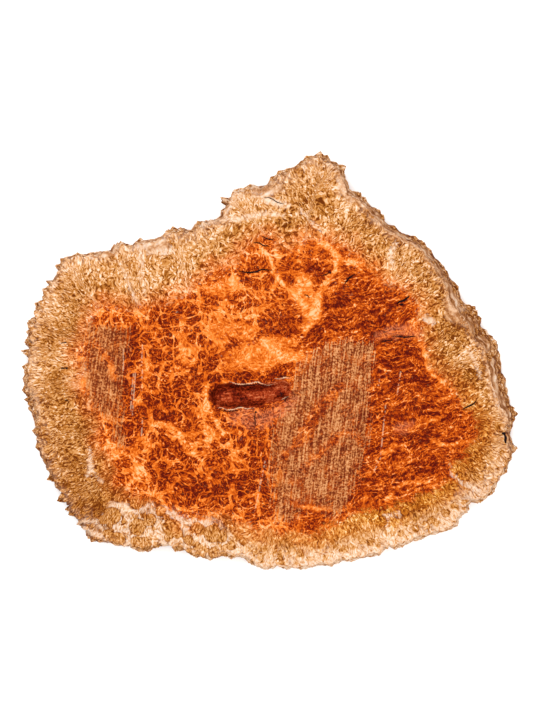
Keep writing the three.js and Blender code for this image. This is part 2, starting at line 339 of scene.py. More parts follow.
def thorn_field(edge, thorns, places, heights):
    """How far each point of the wall stands out over the bare edge."""
    step = edge.perimeter / SAMPLES
    rows_per_mm = WALL_ROWS / THICKNESS
    size, variety, turn = THORN_RADIUS
    field = np.zeros_like(places)
    for index, (place, z, _, height, on_rim, _) in enumerate(thorns):
        radius = THORN_SPACING * (size + variety * math.sin(turn * index))
        half_columns = int(radius / step) + 2
        column = int(round(place))
        columns = np.arange(column - half_columns, column + half_columns + 1)
        low = max(0, int((z - radius) * rows_per_mm) - 1)
        high = min(WALL_ROWS + 1, int((z + radius) * rows_per_mm) + 3)
        window = np.ix_(np.arange(low, high), columns % SAMPLES)
        along = ((places[window] - place + SAMPLES / 2) % SAMPLES - SAMPLES / 2) * step
        across = heights[window] - z
        angle = np.arctan2(across, along)
        flutes = 1 + sum(deep * np.cos(count * angle + shift * index)
                         for count, deep, shift in THORN_FLUTES)
        worn = 1 if on_rim else float(value_at(edge.wear, place))
        cone = np.clip(1 - np.hypot(along, across) / radius * flutes, 0, 1) ** THORN_POINT
        field[window] = np.maximum(field[window], worn * height * cone)
    return field


def roughness_at(x, y, z, size):
    """Fractal noise around 0 whose features are about that size."""
    return noise.fractal(Vector((x / size, y / size, z / size)), *FRACTAL)


def wall_points(edge, thorns, middle):
    """The natural edge as rows of points, from the underside to the upper face."""
    places, heights = wall_grid(thorns)
    offset = edge.bare_offset(places, heights / THICKNESS)
    offset = offset + thorn_field(edge, thorns, places, heights)
    x, y = edge.point(places, offset)
    grain, high = EDGE_GRAIN
    rough = [roughness_at(*place, grain) for place in zip(x.ravel(), y.ravel(), heights.ravel())]
    offset = offset + high * np.array(rough).reshape(x.shape) - EDGE_WEAR
    x, y = edge.point(places, np.minimum(offset, value_at(edge.reach, places)))
    return np.stack([x - middle[0], y - middle[1], heights], 2), places


def segment_distance(points, start, end):
    """Distance of each point to a segment, and how far along it the nearest place is."""
    direction = end - start
    length_squared = max(float(direction @ direction), 1e-9)
    along = np.clip(((points - start) @ direction) / length_squared, 0, 1)
    nearest = start + along[:, None] * direction
    return np.hypot(*(points - nearest).T), along


def line_distance(points, line):
    """Distance of each point to a line of several segments."""
    nearest = np.full(len(points), FAR)
    for start, end in zip(line[:-1], line[1:]):
        nearest = np.minimum(nearest, segment_distance(points, start, end)[0])
    return nearest


def inside(points, polygon):
    """Whether each point lies inside a closed polygon."""
    result = np.zeros(len(points), bool)
    for (x1, y1), (x2, y2) in zip(polygon, np.roll(polygon, -1, axis=0)):
        if y1 == y2:
            continue
        between = (points[:, 1] > min(y1, y2)) & (points[:, 1] <= max(y1, y2))
        cross = x1 + (points[:, 1] - y1) * (x2 - x1) / (y2 - y1)
        result ^= between & (points[:, 0] < cross)
    return result


def polygon_depth(points, polygon):
    """Signed distance to a closed polygon, positive inside."""
    nearest = line_distance(points, closed(polygon))
    return np.where(inside(points, polygon), nearest, -nearest)


class Crack:
    """A V-shaped crack: its middle line, and its half width at each of the line's points."""

    def __init__(self, pixels, half_width, depth=1.0):
        line = line_on_board(pixels)
        length = walked_along(line)[-1]
        count = max(3, int(round(length)) + 1)
        turn, high = CRACK_WANDER
        wander = high * np.sin(turn * np.arange(count) + len(pixels))
        wander[[0, -1]] = 0
        line = points_along(line, np.linspace(0, length, count))
        self.line = line + np.stack([-wander * SIDEWAYS_WANDER, wander], 1)
        self.half = half_width * np.sin(math.pi * np.linspace(0, 1, count)) ** CRACK_TAPER
        self.depth = depth

    def drawn_lines(self):
        """The crack's middle line and its two lips."""
        along = np.gradient(self.line, axis=0)
        along /= np.hypot(*along.T)[:, None]
        side = np.stack([-along[:, 1], along[:, 0]], 1) * self.half[:, None]
        return [self.line, (self.line + side)[1:-1], (self.line - side)[1:-1]]

    def depth_at(self, points):
        """How deep the crack is at each point."""
        result = np.zeros(len(points))
        for index in range(len(self.line) - 1):
            distance, along = segment_distance(points, self.line[index], self.line[index + 1])
            half = self.half[index] * (1 - along) + self.half[index + 1] * along
            deep = self.depth * np.clip(1 - distance / np.maximum(half, LEAST_HALF_WIDTH), 0, 1)
            result = np.maximum(result, np.where(distance < half, deep, 0))
        return result


def deepest(cracks, points):
    """How deep the deepest of the cracks is at each point."""
    return np.max([crack.depth_at(points) for crack in cracks], 0)


def hex_points(low, high, spacing):
    """Points of a triangular grid with a little seeded jitter."""
    chance = np.random.default_rng(GRID_SEED)
    points = []
    for index, y in enumerate(np.arange(low[1], high[1], spacing * math.sqrt(3) / 2)):
        xs = np.arange(low[0] + (index % 2) * spacing / 2, high[0], spacing)
        points.append(np.stack([xs, np.full(len(xs), y)], 1))
    points = np.vstack(points)
    return points + chance.uniform(-SPACING_JITTER, SPACING_JITTER, points.shape) * spacing


def far_from(points, lines, gap):
    """Which points lie further than gap from every one of the lines."""
    keep = np.ones(len(points), bool)
    for line in lines:
        close = (points > line.min(0) - gap).all(1) & (points < line.max(0) + gap).all(1)
        near = np.flatnonzero(keep & close)
        keep[near[line_distance(points[near], line) < gap]] = False
    return keep


def triangulate(ring, lines, loops, free_points):
    """Triangles inside a ring, with every line and loop kept as edges."""
    points = ring
    edges = []
    for line, is_loop in [(loop, True) for loop in loops] + [(line, False) for line in lines]:
        index = len(points) + np.arange(len(line))
        ends = np.roll(index, -1)
        edges += list(zip(index, ends)) if is_loop else list(zip(index, ends))[:-1]
        points = np.vstack([points, line])
    coords = [Vector(point) for point in np.vstack([points, free_points])]
    edges = [(int(start), int(end)) for start, end in edges]
    found = delaunay_2d_cdt(coords, edges, [list(range(len(ring)))], 1, 1e-5)
    return np.array([tuple(point) for point in found[0]]), np.array(found[2])


def pocket_rim(middle):
    """The bark pocket's rim as a closed line with a point about every 1.5 mm."""
    rim = resample(np.array(POCKET_RIM, float) - middle, RIM_POINTS)
    size, high = RIM_WANDER
    wander = np.array([roughness_at(x, y, 0, size) for x, y in rim])
    outward = rim - rim.mean(0)
    outward /= np.hypot(*outward.T)[:, None]
    return rim + outward * wander[:, None] * high


def pocket_floor(points, rim):
    """How deep the ribbed pocket is at each point, and how far inside its rim the point lies."""
    inward = polygon_depth(points, rim)
    share = np.clip(inward / POCKET_SLOPE, 0, 1)
    across, up, size = POCKET_RIBS
    ribs = np.array([roughness_at(x * across, y * up, POCKET_LAYER, size) for x, y in points])
    steep, blunt = POCKET_BOWL
    between, change = RIB_SHARE
    depth = POCKET_DEPTH * (1 - (1 - share) ** steep) ** blunt * (between + change * ribs)
    return np.where(inward > 0, depth, 0), inward


def upper_face(ring, cracks, lips, middle):
    """The figured face: its points, heights and triangles, and how far in from pocket and rim."""
    rim = pocket_rim(middle)
    wide = hex_points(ring.min(0), ring.max(0), FACE_SPACING)
    wide = wide[polygon_depth(wide, ring) > OUTLINE_CLEARANCE]
    wide = wide[polygon_depth(wide, rim) < -RIM_CLEARANCE[0]]
    fine = hex_points(rim.min(0), rim.max(0), POCKET_SPACING)
    fine = fine[polygon_depth(fine, rim) > RIM_CLEARANCE[1]]
    lines = [line for crack in cracks + lips for line in crack.drawn_lines()]
    free = np.vstack([wide, fine])
    free = free[far_from(free, lines + [closed(rim)], LINE_CLEARANCE)]
    places, faces = triangulate(ring, lines, [rim], free)
    sunk, in_pocket = pocket_floor(places, rim)
    sunk = np.maximum(sunk, deepest(cracks, places))
    inward = polygon_depth(places, ring[::2])
    size, high = FACE_WAVES
    waves = np.array([0.5 + 0.5 * roughness_at(x, y, FACE_LAYER, size) for x, y in places])
    sunk += np.clip(inward / FLAT_MARGIN, 0, 1) * high * np.clip(waves, 0, 1)
    return places, THICKNESS - sunk, faces, in_pocket, inward


def underside(ring):
    """The lower sawn face: its points, and its triangles."""
    points = hex_points(ring.min(0), ring.max(0), UNDERSIDE_SPACING)
    points = points[polygon_depth(points, ring[::2]) > UNDERSIDE_SPACING / 2]
    return triangulate(ring, [], [], points)


# What is drawn on the upper face, in pixels of the photograph
HEARTWOOD = [
    (90, 328), (95, 318), (100, 308), (105, 304), (125, 308), (142, 312), (150, 306), (165, 302),
    (180, 297), (195, 290), (203, 282), (215, 270), (228, 268), (238, 258), (250, 246),
    (258, 240), (265, 238), (275, 240), (280, 248), (290, 250), (298, 245), (305, 238),
    (325, 240), (345, 248), (362, 262), (378, 275), (385, 283), (405, 290), (418, 305),
    (421, 325), (418, 335), (428, 345), (426, 360), (435, 375), (445, 378), (458, 392),
    (463, 405), (475, 420), (476, 430), (468, 450), (463, 458), (455, 462), (452, 478),
    (435, 487), (415, 497), (396, 505), (390, 510), (360, 511), (345, 518), (330, 524),
    (320, 532), (310, 535), (290, 530), (250, 527), (235, 518), (222, 512), (207, 514),
    (190, 517), (180, 517), (175, 510), (165, 505), (140, 495), (118, 485), (115, 470),
    (112, 460), (103, 450), (99, 440), (101, 430), (100, 420), (93, 410), (86, 390), (82, 380),
    (86, 370), (80, 360), (78, 350), (85, 340),
]

# Pale salmon veins of the heartwood: (x, y, half width) along each
SALMON_VEINS = [
    [(145, 424, 2), (161, 425, 3), (172, 427, 3.5), (180, 436, 4), (188, 447, 3.5), (202, 441, 3),
     (217, 437, 2.5), (228, 431, 2.5), (241, 432, 2)],
    [(188, 447, 3), (196, 455, 1.8), (203, 461, 1.5), (208, 473, 2.5), (211, 490, 1.5)],
    [(177, 367, 2), (183, 370, 2), (189, 373, 1.8), (191, 380, 1.2)],
    [(181, 345, 2), (182, 357, 3), (190, 364, 3.5), (196, 358, 2)],
    [(184, 350, 3), (188, 352, 4.5)],
    [(147, 361, 1), (147, 367, 3), (146, 375, 1), (143, 388, 1.2)],
    [(156, 330, 1), (157, 338, 1.3), (163, 347, 1.6), (168, 356, 1)],
    [(206, 388, 2.4), (205, 401, 3), (210, 411, 2.5), (216, 420, 2), (221, 429, 2)],
    [(192, 408, 1), (200, 415, 1.8), (206, 424, 2), (214, 432, 1.6)],
    [(196, 422, 1.2), (203, 428, 1.6), (212, 438, 1.4)],
    [(197, 397, 1), (205, 403, 1.6)],
    [(130, 456, 1), (139, 463, 2), (143, 468, 3), (137, 476, 5), (131, 482, 2.5), (128, 488, 1.6)],
    [(143, 468, 2.5), (147, 476, 2), (150, 484, 1.4)],
    [(105, 448, 1.2), (113, 446, 3.5), (117, 454, 1.6), (107, 453, 1.2)],
    [(112, 446, 1.6), (108, 440, 1.2)],
    [(118, 455, 1.2), (122, 452, 1.3), (133, 457, 1.4)],
    [(171, 479, 1), (180, 476.5, 1.2), (190, 478, 1)],
    [(221, 466, 0.9), (229, 456, 1.1), (238, 451, 1.2), (249, 447, 1)],
    [(322, 243, 2), (338, 258, 3), (336, 268, 2.2), (327, 282, 2), (320, 293, 2.6), (317, 306, 4.5),
     (312, 320, 4.5), (304, 332, 2.5)],
    [(338, 258, 2), (350, 262, 2.5), (362, 264, 1.4)],
    [(260, 246, 2.4), (268, 258, 2.6)],
    [(262, 340, 3), (272, 350, 4), (285, 358, 5), (300, 356, 4)],
    [(382, 452, 2.5), (389, 449, 2.5), (396, 444, 2)],
    [(432, 441, 1.6), (440, 444, 2.2), (448, 445, 2), (458, 443, 1.5), (467, 442, 1.6),
     (478, 438, 1.4)],
    [(426, 421, 1), (433, 419, 1.6), (441, 416, 1.4)],
    [(386, 499, 1.8), (393, 491, 1.8), (403, 483, 1.6), (416, 481, 1.4), (429, 483, 1.4)],
    [(300, 505, 1.5), (318, 508, 2), (340, 510, 1.5)],
    [(421, 344, 2), (425, 356, 2.5), (428, 367, 3), (433, 376, 2), (441, 381, 1.2), (450, 383, 1)],
    [(355, 262, 1.2), (361, 270, 1.8), (366, 280, 1.2)],
    [(225, 300, 1.6), (236, 312, 2), (246, 318, 2.4), (258, 316, 1.6)],
    [(268, 258, 2.4), (276, 274, 2.4), (284, 286, 2.4), (296, 296, 2.4), (306, 308, 2)],
]

# Cream veins and streaks of the sapwood: (x, y, half width) along each
CREAM_VEINS = [
    [(112, 506, 3.5), (120, 505, 3), (127, 508, 4.5), (128.5, 516, 2.2), (129, 530, 1.4),
     (130, 542, 2)],
    [(127, 508, 3), (138, 511, 1.6), (145, 508, 2), (152, 503, 1.6), (153, 510, 2), (160, 509, 1.4),
     (168, 506, 1.6), (172, 512, 3), (183, 520, 3), (192, 523, 2)],
    [(156, 515, 2.4), (158, 524, 3), (161, 532, 3.5), (165, 544, 3), (172, 545, 2.4)],
    [(140, 537, 1.6), (150, 533, 1.2), (158, 530, 2)],
    [(183, 520, 2), (186, 530, 2), (190, 538, 3.2), (184, 546, 2)],
    [(77, 522, 1.6), (90, 520, 1.5), (104, 521, 1)],
    [(84, 528, 2), (95, 533, 2.6), (107, 536, 2)],
    [(100, 526, 1.2), (108, 530, 1.2)],
    [(90, 448, 0.6), (91, 458, 1.2), (91, 467, 2.2), (88, 476, 1)],
    [(91, 467, 1), (97, 475, 0.6), (103, 482, 0.5)],
    [(391, 265, 1.5), (390, 252, 2.5), (396, 244, 1.6)],
    [(263, 200, 3), (275, 203, 3), (288, 206, 2.5)],
    [(200, 226, 1.5), (222, 219, 2), (240, 220, 2.5), (262, 214, 2), (284, 216, 1)],
    [(120, 262, 0.5), (128, 280, 0.7), (134, 296, 0.7), (140, 306, 0.5)],
    [(140, 250, 3), (142, 262, 2), (142, 280, 0.7), (146, 296, 0.5)],
    [(150, 250, 4), (162, 252, 4), (172, 250, 3)],
    [(448, 462, 1), (449, 472, 1), (458, 480, 1.2), (470, 486, 2), (480, 492, 3)],
    [(384, 515, 1), (392, 515, 1.2), (398, 511, 1), (400, 517, 1)],
    [(386, 517, 0.9), (387, 530, 0.9)],
    [(425, 318, 2.5), (431, 322, 3)],
    [(448, 298, 2), (454, 300, 2.5)],
    [(462, 309, 2.5), (468, 306, 2)],
    [(300, 210, 0.8), (310, 222, 1), (322, 232, 0.6)],
    [(468, 352, 0.8), (474, 362, 1), (480, 378, 0.8)],
]

# Round brown cells of the sapwood and single eyes: (x, y, radius)
EYES = [
    (113, 515, 9), (104, 519, 5), (138, 526, 8.5), (150.5, 519, 6.5), (172, 527, 9), (178, 533, 5),
    (161, 510, 5.5), (137, 502, 7), (168.5, 537, 4.5), (189, 539, 5), (197, 545, 4.5),
    (178, 548, 6), (189, 551, 4), (137, 541, 6), (145, 543, 7), (157.5, 544.5, 4), (197, 527, 6),
    (213, 533, 9), (222, 536, 6), (201, 553, 5.5), (214, 552, 6), (224, 554, 4), (231, 545, 5),
    (118, 539, 8), (108, 533, 5), (119, 497, 5), (106.5, 495, 6), (103, 463, 5), (106, 470, 4.5),
    (112, 484, 4), (381.5, 520.5, 5.5), (404, 511, 4.5), (463, 474, 6.5), (478, 464, 7),
    (352.5, 303, 4.5), (430, 520, 4), (445, 512, 4.5), (415, 528, 4), (400, 533, 3.5),
    (370, 541, 4), (345, 548, 3.5), (300, 552, 4), (280, 556, 3.5), (255, 551, 3.5), (243, 541, 4),
    (478, 384, 4.5), (497, 376, 3.5), (330, 195, 3.5), (318, 180, 3), (309, 192, 3),
    (336, 178, 2.6), (352, 215, 4), (340, 222, 3), (300, 176, 2.6),
]

# Cream wood with brown cells in it: (x, y, radius x, radius y)
CREAM_WEB = [(168, 532, 66, 30), (122, 528, 28, 24), (214, 545, 40, 18)]

# Where the saw marks were left on: outlines
ROUGH_PATCHES = [
    [(88, 322), (128, 330), (126, 372), (124, 400), (122, 425), (127, 446), (119, 446), (112, 424),
     (104, 418), (96, 408), (88, 396), (84, 372), (86, 345)],
    [(332, 342), (352, 341), (372, 345), (370, 380), (369, 410), (367, 440), (360, 470), (356, 484),
     (350, 500), (333, 518), (320, 512), (300, 506), (294, 520), (276, 520), (272, 480),
     (268, 460), (270, 440), (278, 420), (288, 402), (292, 384), (300, 362), (316, 352)],
]

# Polished streaks through the saw marks: (x, y, half width) along each
POLISHED = [
    [(284, 456, 3), (298, 442, 4), (310, 422, 5), (322, 404, 6), (340, 386, 4)],
    [(300, 470, 1.5), (320, 452, 2), (342, 432, 2)],
    [(345, 430, 1), (366, 446, 1.5)],
    [(288, 500, 2), (310, 508, 3), (328, 512, 2)],
    [(98, 345, 2), (110, 362, 3), (118, 384, 2)],
]

# Smooth, clear wood with few eyes: (x, y, radius x, radius y)
CLEAR_WOOD = [(262, 356, 66, 26), (238, 330, 40, 16), (308, 300, 22, 40), (222, 290, 26, 14)]

# Heartwood where the bright wood between the dark eyes is wide: (x, y, radius x, radius y)
OPEN_WOOD = [(188, 340, 44, 40), (240, 318, 40, 20), (207, 418, 24, 26), (150, 452, 34, 18),
             (300, 310, 36, 24), (225, 445, 40, 14), (296, 262, 36, 20)]

# Pink stains of the heartwood, smooth bark skin, and darker wood: (x, y, half width) along each
PINK_STREAKS = [
    [(234, 418, 5), (250, 418, 8), (266, 419, 6), (280, 410, 5), (292, 402, 4)],
    [(376, 336, 2), (392, 331, 4.5), (408, 331, 5), (418, 333, 3)],
    [(398, 429, 3), (406, 426, 5), (412, 422, 2)],
]
SKIN_STREAKS = [
    [(340, 178, 3), (344, 190, 5), (352, 197, 5), (364, 202, 5), (374, 212, 6), (383, 222, 4)],
    [(392, 232, 5), (400, 237, 4), (412, 243, 2.5), (430, 258, 2.5), (440, 268, 2), (448, 284, 2)],
    [(448, 302, 4), (456, 314, 9), (468, 318, 9), (476, 326, 5)],
    [(482, 334, 3), (486, 344, 3)],
    [(497, 366, 4), (501, 378, 7), (504, 395, 7), (507, 412, 6)],
    [(140, 243, 3), (152, 245, 5), (164, 243, 4)],
    [(95, 254, 3), (105, 254, 4), (113, 252, 3)],
    [(222, 212, 4), (228, 207, 4)],
    [(256, 192, 4), (268, 190, 4), (280, 188, 3)],
]
DARK_SPOTS = [
    [(214, 402, 2), (212, 392, 3), (218, 381, 4), (232, 376, 4), (250, 375, 4), (270, 376, 4)],
    [(222, 404, 2), (240, 405, 2.5), (262, 403, 2)],
    [(280, 393, 3), (287, 398, 2)],
    [(218, 390, 3), (228, 387, 3), (250, 388, 2), (272, 388, 2)],
    [(408, 346, 3), (413, 349, 7), (416, 352, 4)],
    [(405, 376, 5), (415, 382, 8), (428, 386, 5)],
    [(426, 430, 4), (424, 436, 6)],
    [(378, 519, 3), (382, 521, 4)],
    [(98, 448, 3), (101, 462, 3.5), (106, 470, 3)],
    [(246, 400, 3), (236, 396, 4)],
    [(458, 298, 1), (452, 344, 5), (456, 350, 5)],
    [(130, 335, 6), (130, 360, 7), (124, 385, 6)],
    [(165, 470, 8), (190, 480, 10), (240, 485, 12)],
    [(168, 412, 8), (160, 400, 7)],
]

# Cracks: (pixels, half width in millimetres, depth in millimetres)
CRACKS = [
    ([(238, 271.4), (241.5, 272.2), (249.8, 273), (256.4, 272.2), (261.4, 269.8),
      (266.3, 270.2), (273, 271)], 0.85, 2.5),
    ([(253, 243.2), (258, 243.2), (260.5, 244), (263, 246.1), (269.7, 246.7)], 0.7, 2.0),
    ([(261.4, 236.2), (266.3, 239), (270.5, 240.3), (274.6, 239.2)], 0.6, 2.0),
    ([(321, 276.8), (326, 274.7), (330, 272.7)], 0.6, 1.6),
    ([(303, 295), (307, 295.5), (310, 299)], 0.55, 1.5),
    ([(343.6, 285), (348.8, 278), (354.9, 274.5)], 0.8, 2.5),
    ([(395.8, 304.5), (398.9, 301.8), (403.5, 300.7), (409.6, 295.7)], 1.0, 3.0),
    ([(398.5, 305.4), (400.5, 305), (403.5, 304)], 0.8, 2.5),
    ([(390, 336.2), (397.3, 336.2), (403.5, 337.4), (407.3, 337), (416.5, 336.2)], 0.7, 2.0),
    ([(378, 342.7), (385, 340.8), (392.7, 340.4)], 0.6, 1.8),
    ([(460.4, 409.6), (467.6, 406), (472.4, 404), (476.4, 399.6)], 0.8, 2.5),
    ([(503, 433.5), (504.8, 437.2), (504.2, 440.4), (505, 443.5)], 1.3, 3.5),
    ([(263, 199), (268, 198), (273, 200), (277, 203), (285, 205)], 0.55, 1.5),
    ([(255.5, 412), (254.5, 418), (256, 426)], 0.5, 1.5),
    ([(228.5, 383.6), (236, 385.2), (244, 385.8), (252, 385), (258, 383.6), (264, 386.6),
      (272, 386.8)], 0.55, 1.5),
    ([(276, 376.8), (284, 375.8), (291, 377)], 0.45, 1.5),
    ([(219, 409.4), (226, 411.2), (234, 410.8), (240, 409.4)], 0.5, 1.5),
    ([(279.5, 391), (282, 394), (280, 397)], 0.6, 1.5),
    ([(283, 401), (287, 399.4)], 0.5, 1.5),
    ([(61, 343.4), (66, 342.4)], 0.55, 1.5),
    ([(61, 368.6), (67, 368)], 0.8, 1.5),
    ([(64.5, 399.6), (70, 400.6)], 0.6, 1.5),
]

# Lips of the bark pocket, painted pale as a highlight: (pixels, half width in millimetres)
LIPS = [
    ([(227.5, 381.5), (231, 381.8), (236, 383.6), (241, 384.2), (246, 384), (251, 383.2),
      (257.5, 381.6), (262, 383.6), (268, 385.2), (275.5, 383.6)], 0.6),
    ([(274, 378.4), (280, 378.8), (285, 377.2), (292, 378.6)], 0.7),
    ([(217.5, 407.6), (222, 407.4), (227, 409.6), (233, 409.4), (238, 407.6), (242, 407.2),
      (247, 408.6), (255, 407.6)], 0.6),
    ([(281, 399.6), (285, 397.6), (288.5, 396.4)], 0.6),
]

# Scratches left by the saw: (x, y from, x, y to)
SCRATCHES = [
    (124, 350, 124, 370), (136, 372, 133, 415), (134, 374, 131, 412), (143, 345, 142, 365),
    (143, 370, 142, 390), (143, 420, 142, 435), (265, 461, 255, 510), (400, 372, 396.7, 394),
    (385, 405, 380, 457), (380, 457, 374, 470), (380, 375, 378, 385), (262, 470, 258, 496),
]

# By direction from +X in degrees: how pale the wood is along the edge
PALE_EDGE = [
    (0, 0.1), (48, 0.1), (62, 0.35), (100, 0.4), (150, 0.3), (180, 0.35), (200, 0.25), (215, 0.1),
    (228, 0.4), (240, 0.8), (262, 0.95), (300, 1.0), (325, 0.95), (340, 0.35), (360, 0.1),
]

# How much of the edge is smooth bark skin
SKIN_EDGE = [
    (0, 0.5), (6, 0.3), (20, 0.4), (28, 0.2), (48, 0.3), (56, 0.7), (66, 0.6), (76, 0.2),
    (100, 0.3), (122, 0.35), (135, 0.4), (150, 0.15), (190, 0.3), (205, 0.1), (240, 0.15),
    (300, 0.2), (335, 0.1), (344, 0.2), (348, 0.7), (357, 0.8), (360, 0.5),
]

# How much the heartwood is in round cells, not in streaks
WARM_CELLS = [
    (0, 0.15), (40, 0.25), (80, 0.6), (130, 0.9), (180, 1), (230, 1), (262, 0.85), (285, 0.4),
    (320, 0.2), (360, 0.15),
]

# How olive the sapwood is beside the heartwood
OLIVE_BAND = [
    (0, 0.5), (20, 0.3), (60, 0.2), (110, 0.0), (190, 0.1), (225, 0.35), (250, 0.2), (285, 0.6),
    (305, 1.0), (335, 0.9), (360, 0.5),
]

# How much lighter or darker the sapwood is, and the heartwood away from its middle
SAP_TONE = [
    (0, -0.07), (48, -0.04), (62, 0.01), (80, 0.03), (120, 0.02), (150, 0.02), (180, -0.05),
    (200, -0.19), (222, -0.28), (240, -0.13), (300, -0.03), (330, -0.07), (360, -0.07),
]
HEART_TONE = [
    (0, -0.05), (40, 0.0), (60, 0.05), (90, 0.07), (120, 0.05), (150, 0.0), (180, -0.05),
    (215, 0.0), (270, -0.04), (320, -0.04), (360, -0.05),
]
HEART_MIDDLE = (10, 60)        # how far from the middle that tone begins, and is full

# What each drawn table is called in the materials
STROKES = {
    "vein": SALMON_VEINS, "cream": CREAM_VEINS, "polish": POLISHED, "pink": PINK_STREAKS,
    "skin": SKIN_STREAKS, "dark": DARK_SPOTS,
}
OVALS = {"clear": CLEAR_WOOD, "open": OPEN_WOOD, "web": CREAM_WEB}
DIRECTIONS = {
    "pale": PALE_EDGE, "skin_edge": SKIN_EDGE, "cells": WARM_CELLS, "olive": OLIVE_BAND,
    "tone": SAP_TONE, "heart_tone": HEART_TONE,
}
FURTHEST = 40.0                # distances to strokes and discs are not told apart beyond this
BLOCK = 4000                   # how many points are worked out at a time


def stroke_distance(points, strokes):
    """Distance to the nearest stroke's side, negative inside it."""
    nearest = np.full(len(points), FURTHEST)
    for stroke in strokes:
        line = line_on_board(stroke)
        half = np.array([point[2] for point in stroke]) * MM_PER_PIXEL
        for index in range(len(line) - 1):
            distance, along = segment_distance(points, line[index], line[index + 1])
            side = half[index] * (1 - along) + half[index + 1] * along
            nearest = np.minimum(nearest, distance - side)
    return nearest


def disc_distance(points, discs):
    """Distance to the nearest disc's rim, negative inside it."""
    nearest = np.full(len(points), FURTHEST)
    for px, py, radius in discs:
        distance = np.hypot(*(points - on_board(px, py)).T)
        nearest = np.minimum(nearest, distance - radius * MM_PER_PIXEL)
    return nearest


def oval_share(points, ovals):
    """1 in the middle of an oval, 0 at its border and beyond."""
    share = np.zeros(len(points))
    for px, py, across, down in ovals:
        spread = np.array([across, down]) * MM_PER_PIXEL
        share = np.maximum(share, 1 - np.hypot(*((points - on_board(px, py)) / spread).T))
    return share


def patch_depth(points, outlines):
    """Signed distance to the nearest of several patches, positive inside."""
    return np.max([polygon_depth(points, line_on_board(outline)) for outline in outlines], 0)


def smooth_step(value, low, high):
    """A smooth rise from 0 to 1 as the value goes from low to high."""
    share = np.clip((value - low) / (high - low), 0, 1)
    return share * share * (3 - 2 * share)


def by_bearing(points, stops):
    """The value that a table gives for each point's direction from the middle."""
    bearing = np.degrees(np.arctan2(points[:, 1], points[:, 0])) % 360
    return np.interp(bearing, *np.array(stops, float).T)


def nearest_samples(points, line):
    """The sample of the smooth line nearest to each point, worked out a block at a time."""
    blocks = [points[start:start + BLOCK] for start in range(0, len(points), BLOCK)]
    return np.concatenate([
        ((block[:, None, :] - line[None, :, :]) ** 2).sum(2).argmin(1) for block in blocks
    ])


def board_fields(points, edge, middle):
    """What the wood is like at each point of the board, seen from above."""
    drawn = points + middle
    nearest = nearest_samples(drawn, edge.line)
    inward = -((drawn - edge.line[nearest]) * edge.outward[nearest]).sum(1)
    radius = edge.perimeter / (2 * math.pi)
    turn = 2 * math.pi * nearest / SAMPLES
    fields = {name: stroke_distance(points, drawing) for name, drawing in STROKES.items()}
    fields.update({name: oval_share(points, drawing) for name, drawing in OVALS.items()})
    fields.update({name: by_bearing(points, stops) for name, stops in DIRECTIONS.items()})
    fields["heart_tone"] *= smooth_step(np.hypot(*points.T), *HEART_MIDDLE)
    fields["heart"] = polygon_depth(points, line_on_board(HEARTWOOD))
    fields["eye"] = disc_distance(points, EYES)
    fields["rough"] = patch_depth(points, ROUGH_PATCHES)
    fields["inward"] = inward
    fields["flow"] = np.stack([radius * np.cos(turn), radius * np.sin(turn), inward], 1)
    return fields


# How much light the studio throws on the upper face, 1 being just enough to show a colour as it is
LIGHT_LEVEL = 1.62


def srgb(red, green, blue):
    """A colour as seen under the studio's light, 0 to 255, as the shader's own."""
    def linear(value):
        value /= 255
        seen = value / 12.92 if value <= 0.04045 else ((value + 0.055) / 1.055) ** 2.4
        return seen / LIGHT_LEVEL
    return (linear(red), linear(green), linear(blue), 1.0)


# The colours of each kind of wood, from dark to light: (place from 0 to 1, red, green, blue)
HEARTWOOD_TONES = [(0.0, 86, 9, 0), (0.2, 134, 36, 0), (0.4, 179, 68, 2), (0.6, 221, 104, 18),
                   (0.8, 248, 144, 62), (1.0, 254, 190, 138)]
SAPWOOD_TONES = [(0.0, 104, 44, 0), (0.25, 164, 94, 24), (0.5, 208, 141, 72), (0.75, 236, 184, 134),
                 (1.0, 252, 224, 202)]
WARM_TONES = [(0.0, 130, 44, 4), (0.25, 186, 84, 22), (0.5, 228, 128, 62), (0.75, 250, 170, 112),
              (1.0, 255, 214, 178)]
OLIVE_TONES = [(0.0, 108, 44, 0), (0.25, 164, 84, 10), (0.5, 208, 126, 36), (0.75, 236, 176, 88),
               (1.0, 252, 222, 176)]
CREAM_TONES = [(0.15, 206, 146, 96), (0.45, 238, 198, 162), (0.8, 253, 226, 204)]
SKIN_TONES = [(0.0, 128, 70, 26), (0.3, 188, 128, 82), (0.6, 230, 186, 148), (1.0, 253, 235, 220)]
ROUGH_TONES = [(0.0, 112, 44, 14), (0.3, 162, 86, 40), (0.6, 196, 122, 68), (1.0, 226, 164, 112)]
POCKET_TONES = [(0.0, 50, 8, 2), (0.35, 124, 30, 6), (0.7, 188, 72, 30), (1.0, 228, 130, 82)]
SCRATCH_COLOUR = srgb(232, 186, 150)
PINK_COLOUR = srgb(228, 134, 88)
# The pocket's lips are painted pale: a painted highlight
LIP_HIGHLIGHT_COLOUR = srgb(226, 184, 146)
# The cracks' dark inside is painted shade
CRACK_SHADE_COLOUR = srgb(34, 20, 24)
STAIN_COLOUR = srgb(140, 78, 30)

# Sizes of the figure in millimetres, and the directions of its streaks in degrees
EYE_SIZE = 9.6
SMALL_EYE = 4.9
LOBE_SIZE = 25.0
STREAK_ANGLE = 14
SAP_ANGLE = 28
SAW_ANGLE = 83
CREAM_CELL = 9.0
# The size of the thorn bases painted near the rim: painted shade between them, painted highlight on them
THORN_SHADING_CELL = 6.4
RAGGED_BORDER = 22.0
SAP_SQUEEZE = (1.0, 1.0, 0.45)           # fibres of the sapwood are long across the edge
SKIN_SQUEEZE = (0.35, 0.35, 1.0)         # bands of the bark skin are long along the edge
SKIN_LEVEL = (34.0, 46.0)                # where on the edge the upper face's skin fades out
SHINE = 0.03
SWIRL = (26.0, 7.0)            # the size and reach of the bends in the whole figure
CELL_DISORDER = 0.85
SEED_SHIFT = (31.7, 47.3)      # how far apart the noises of two seeds are read


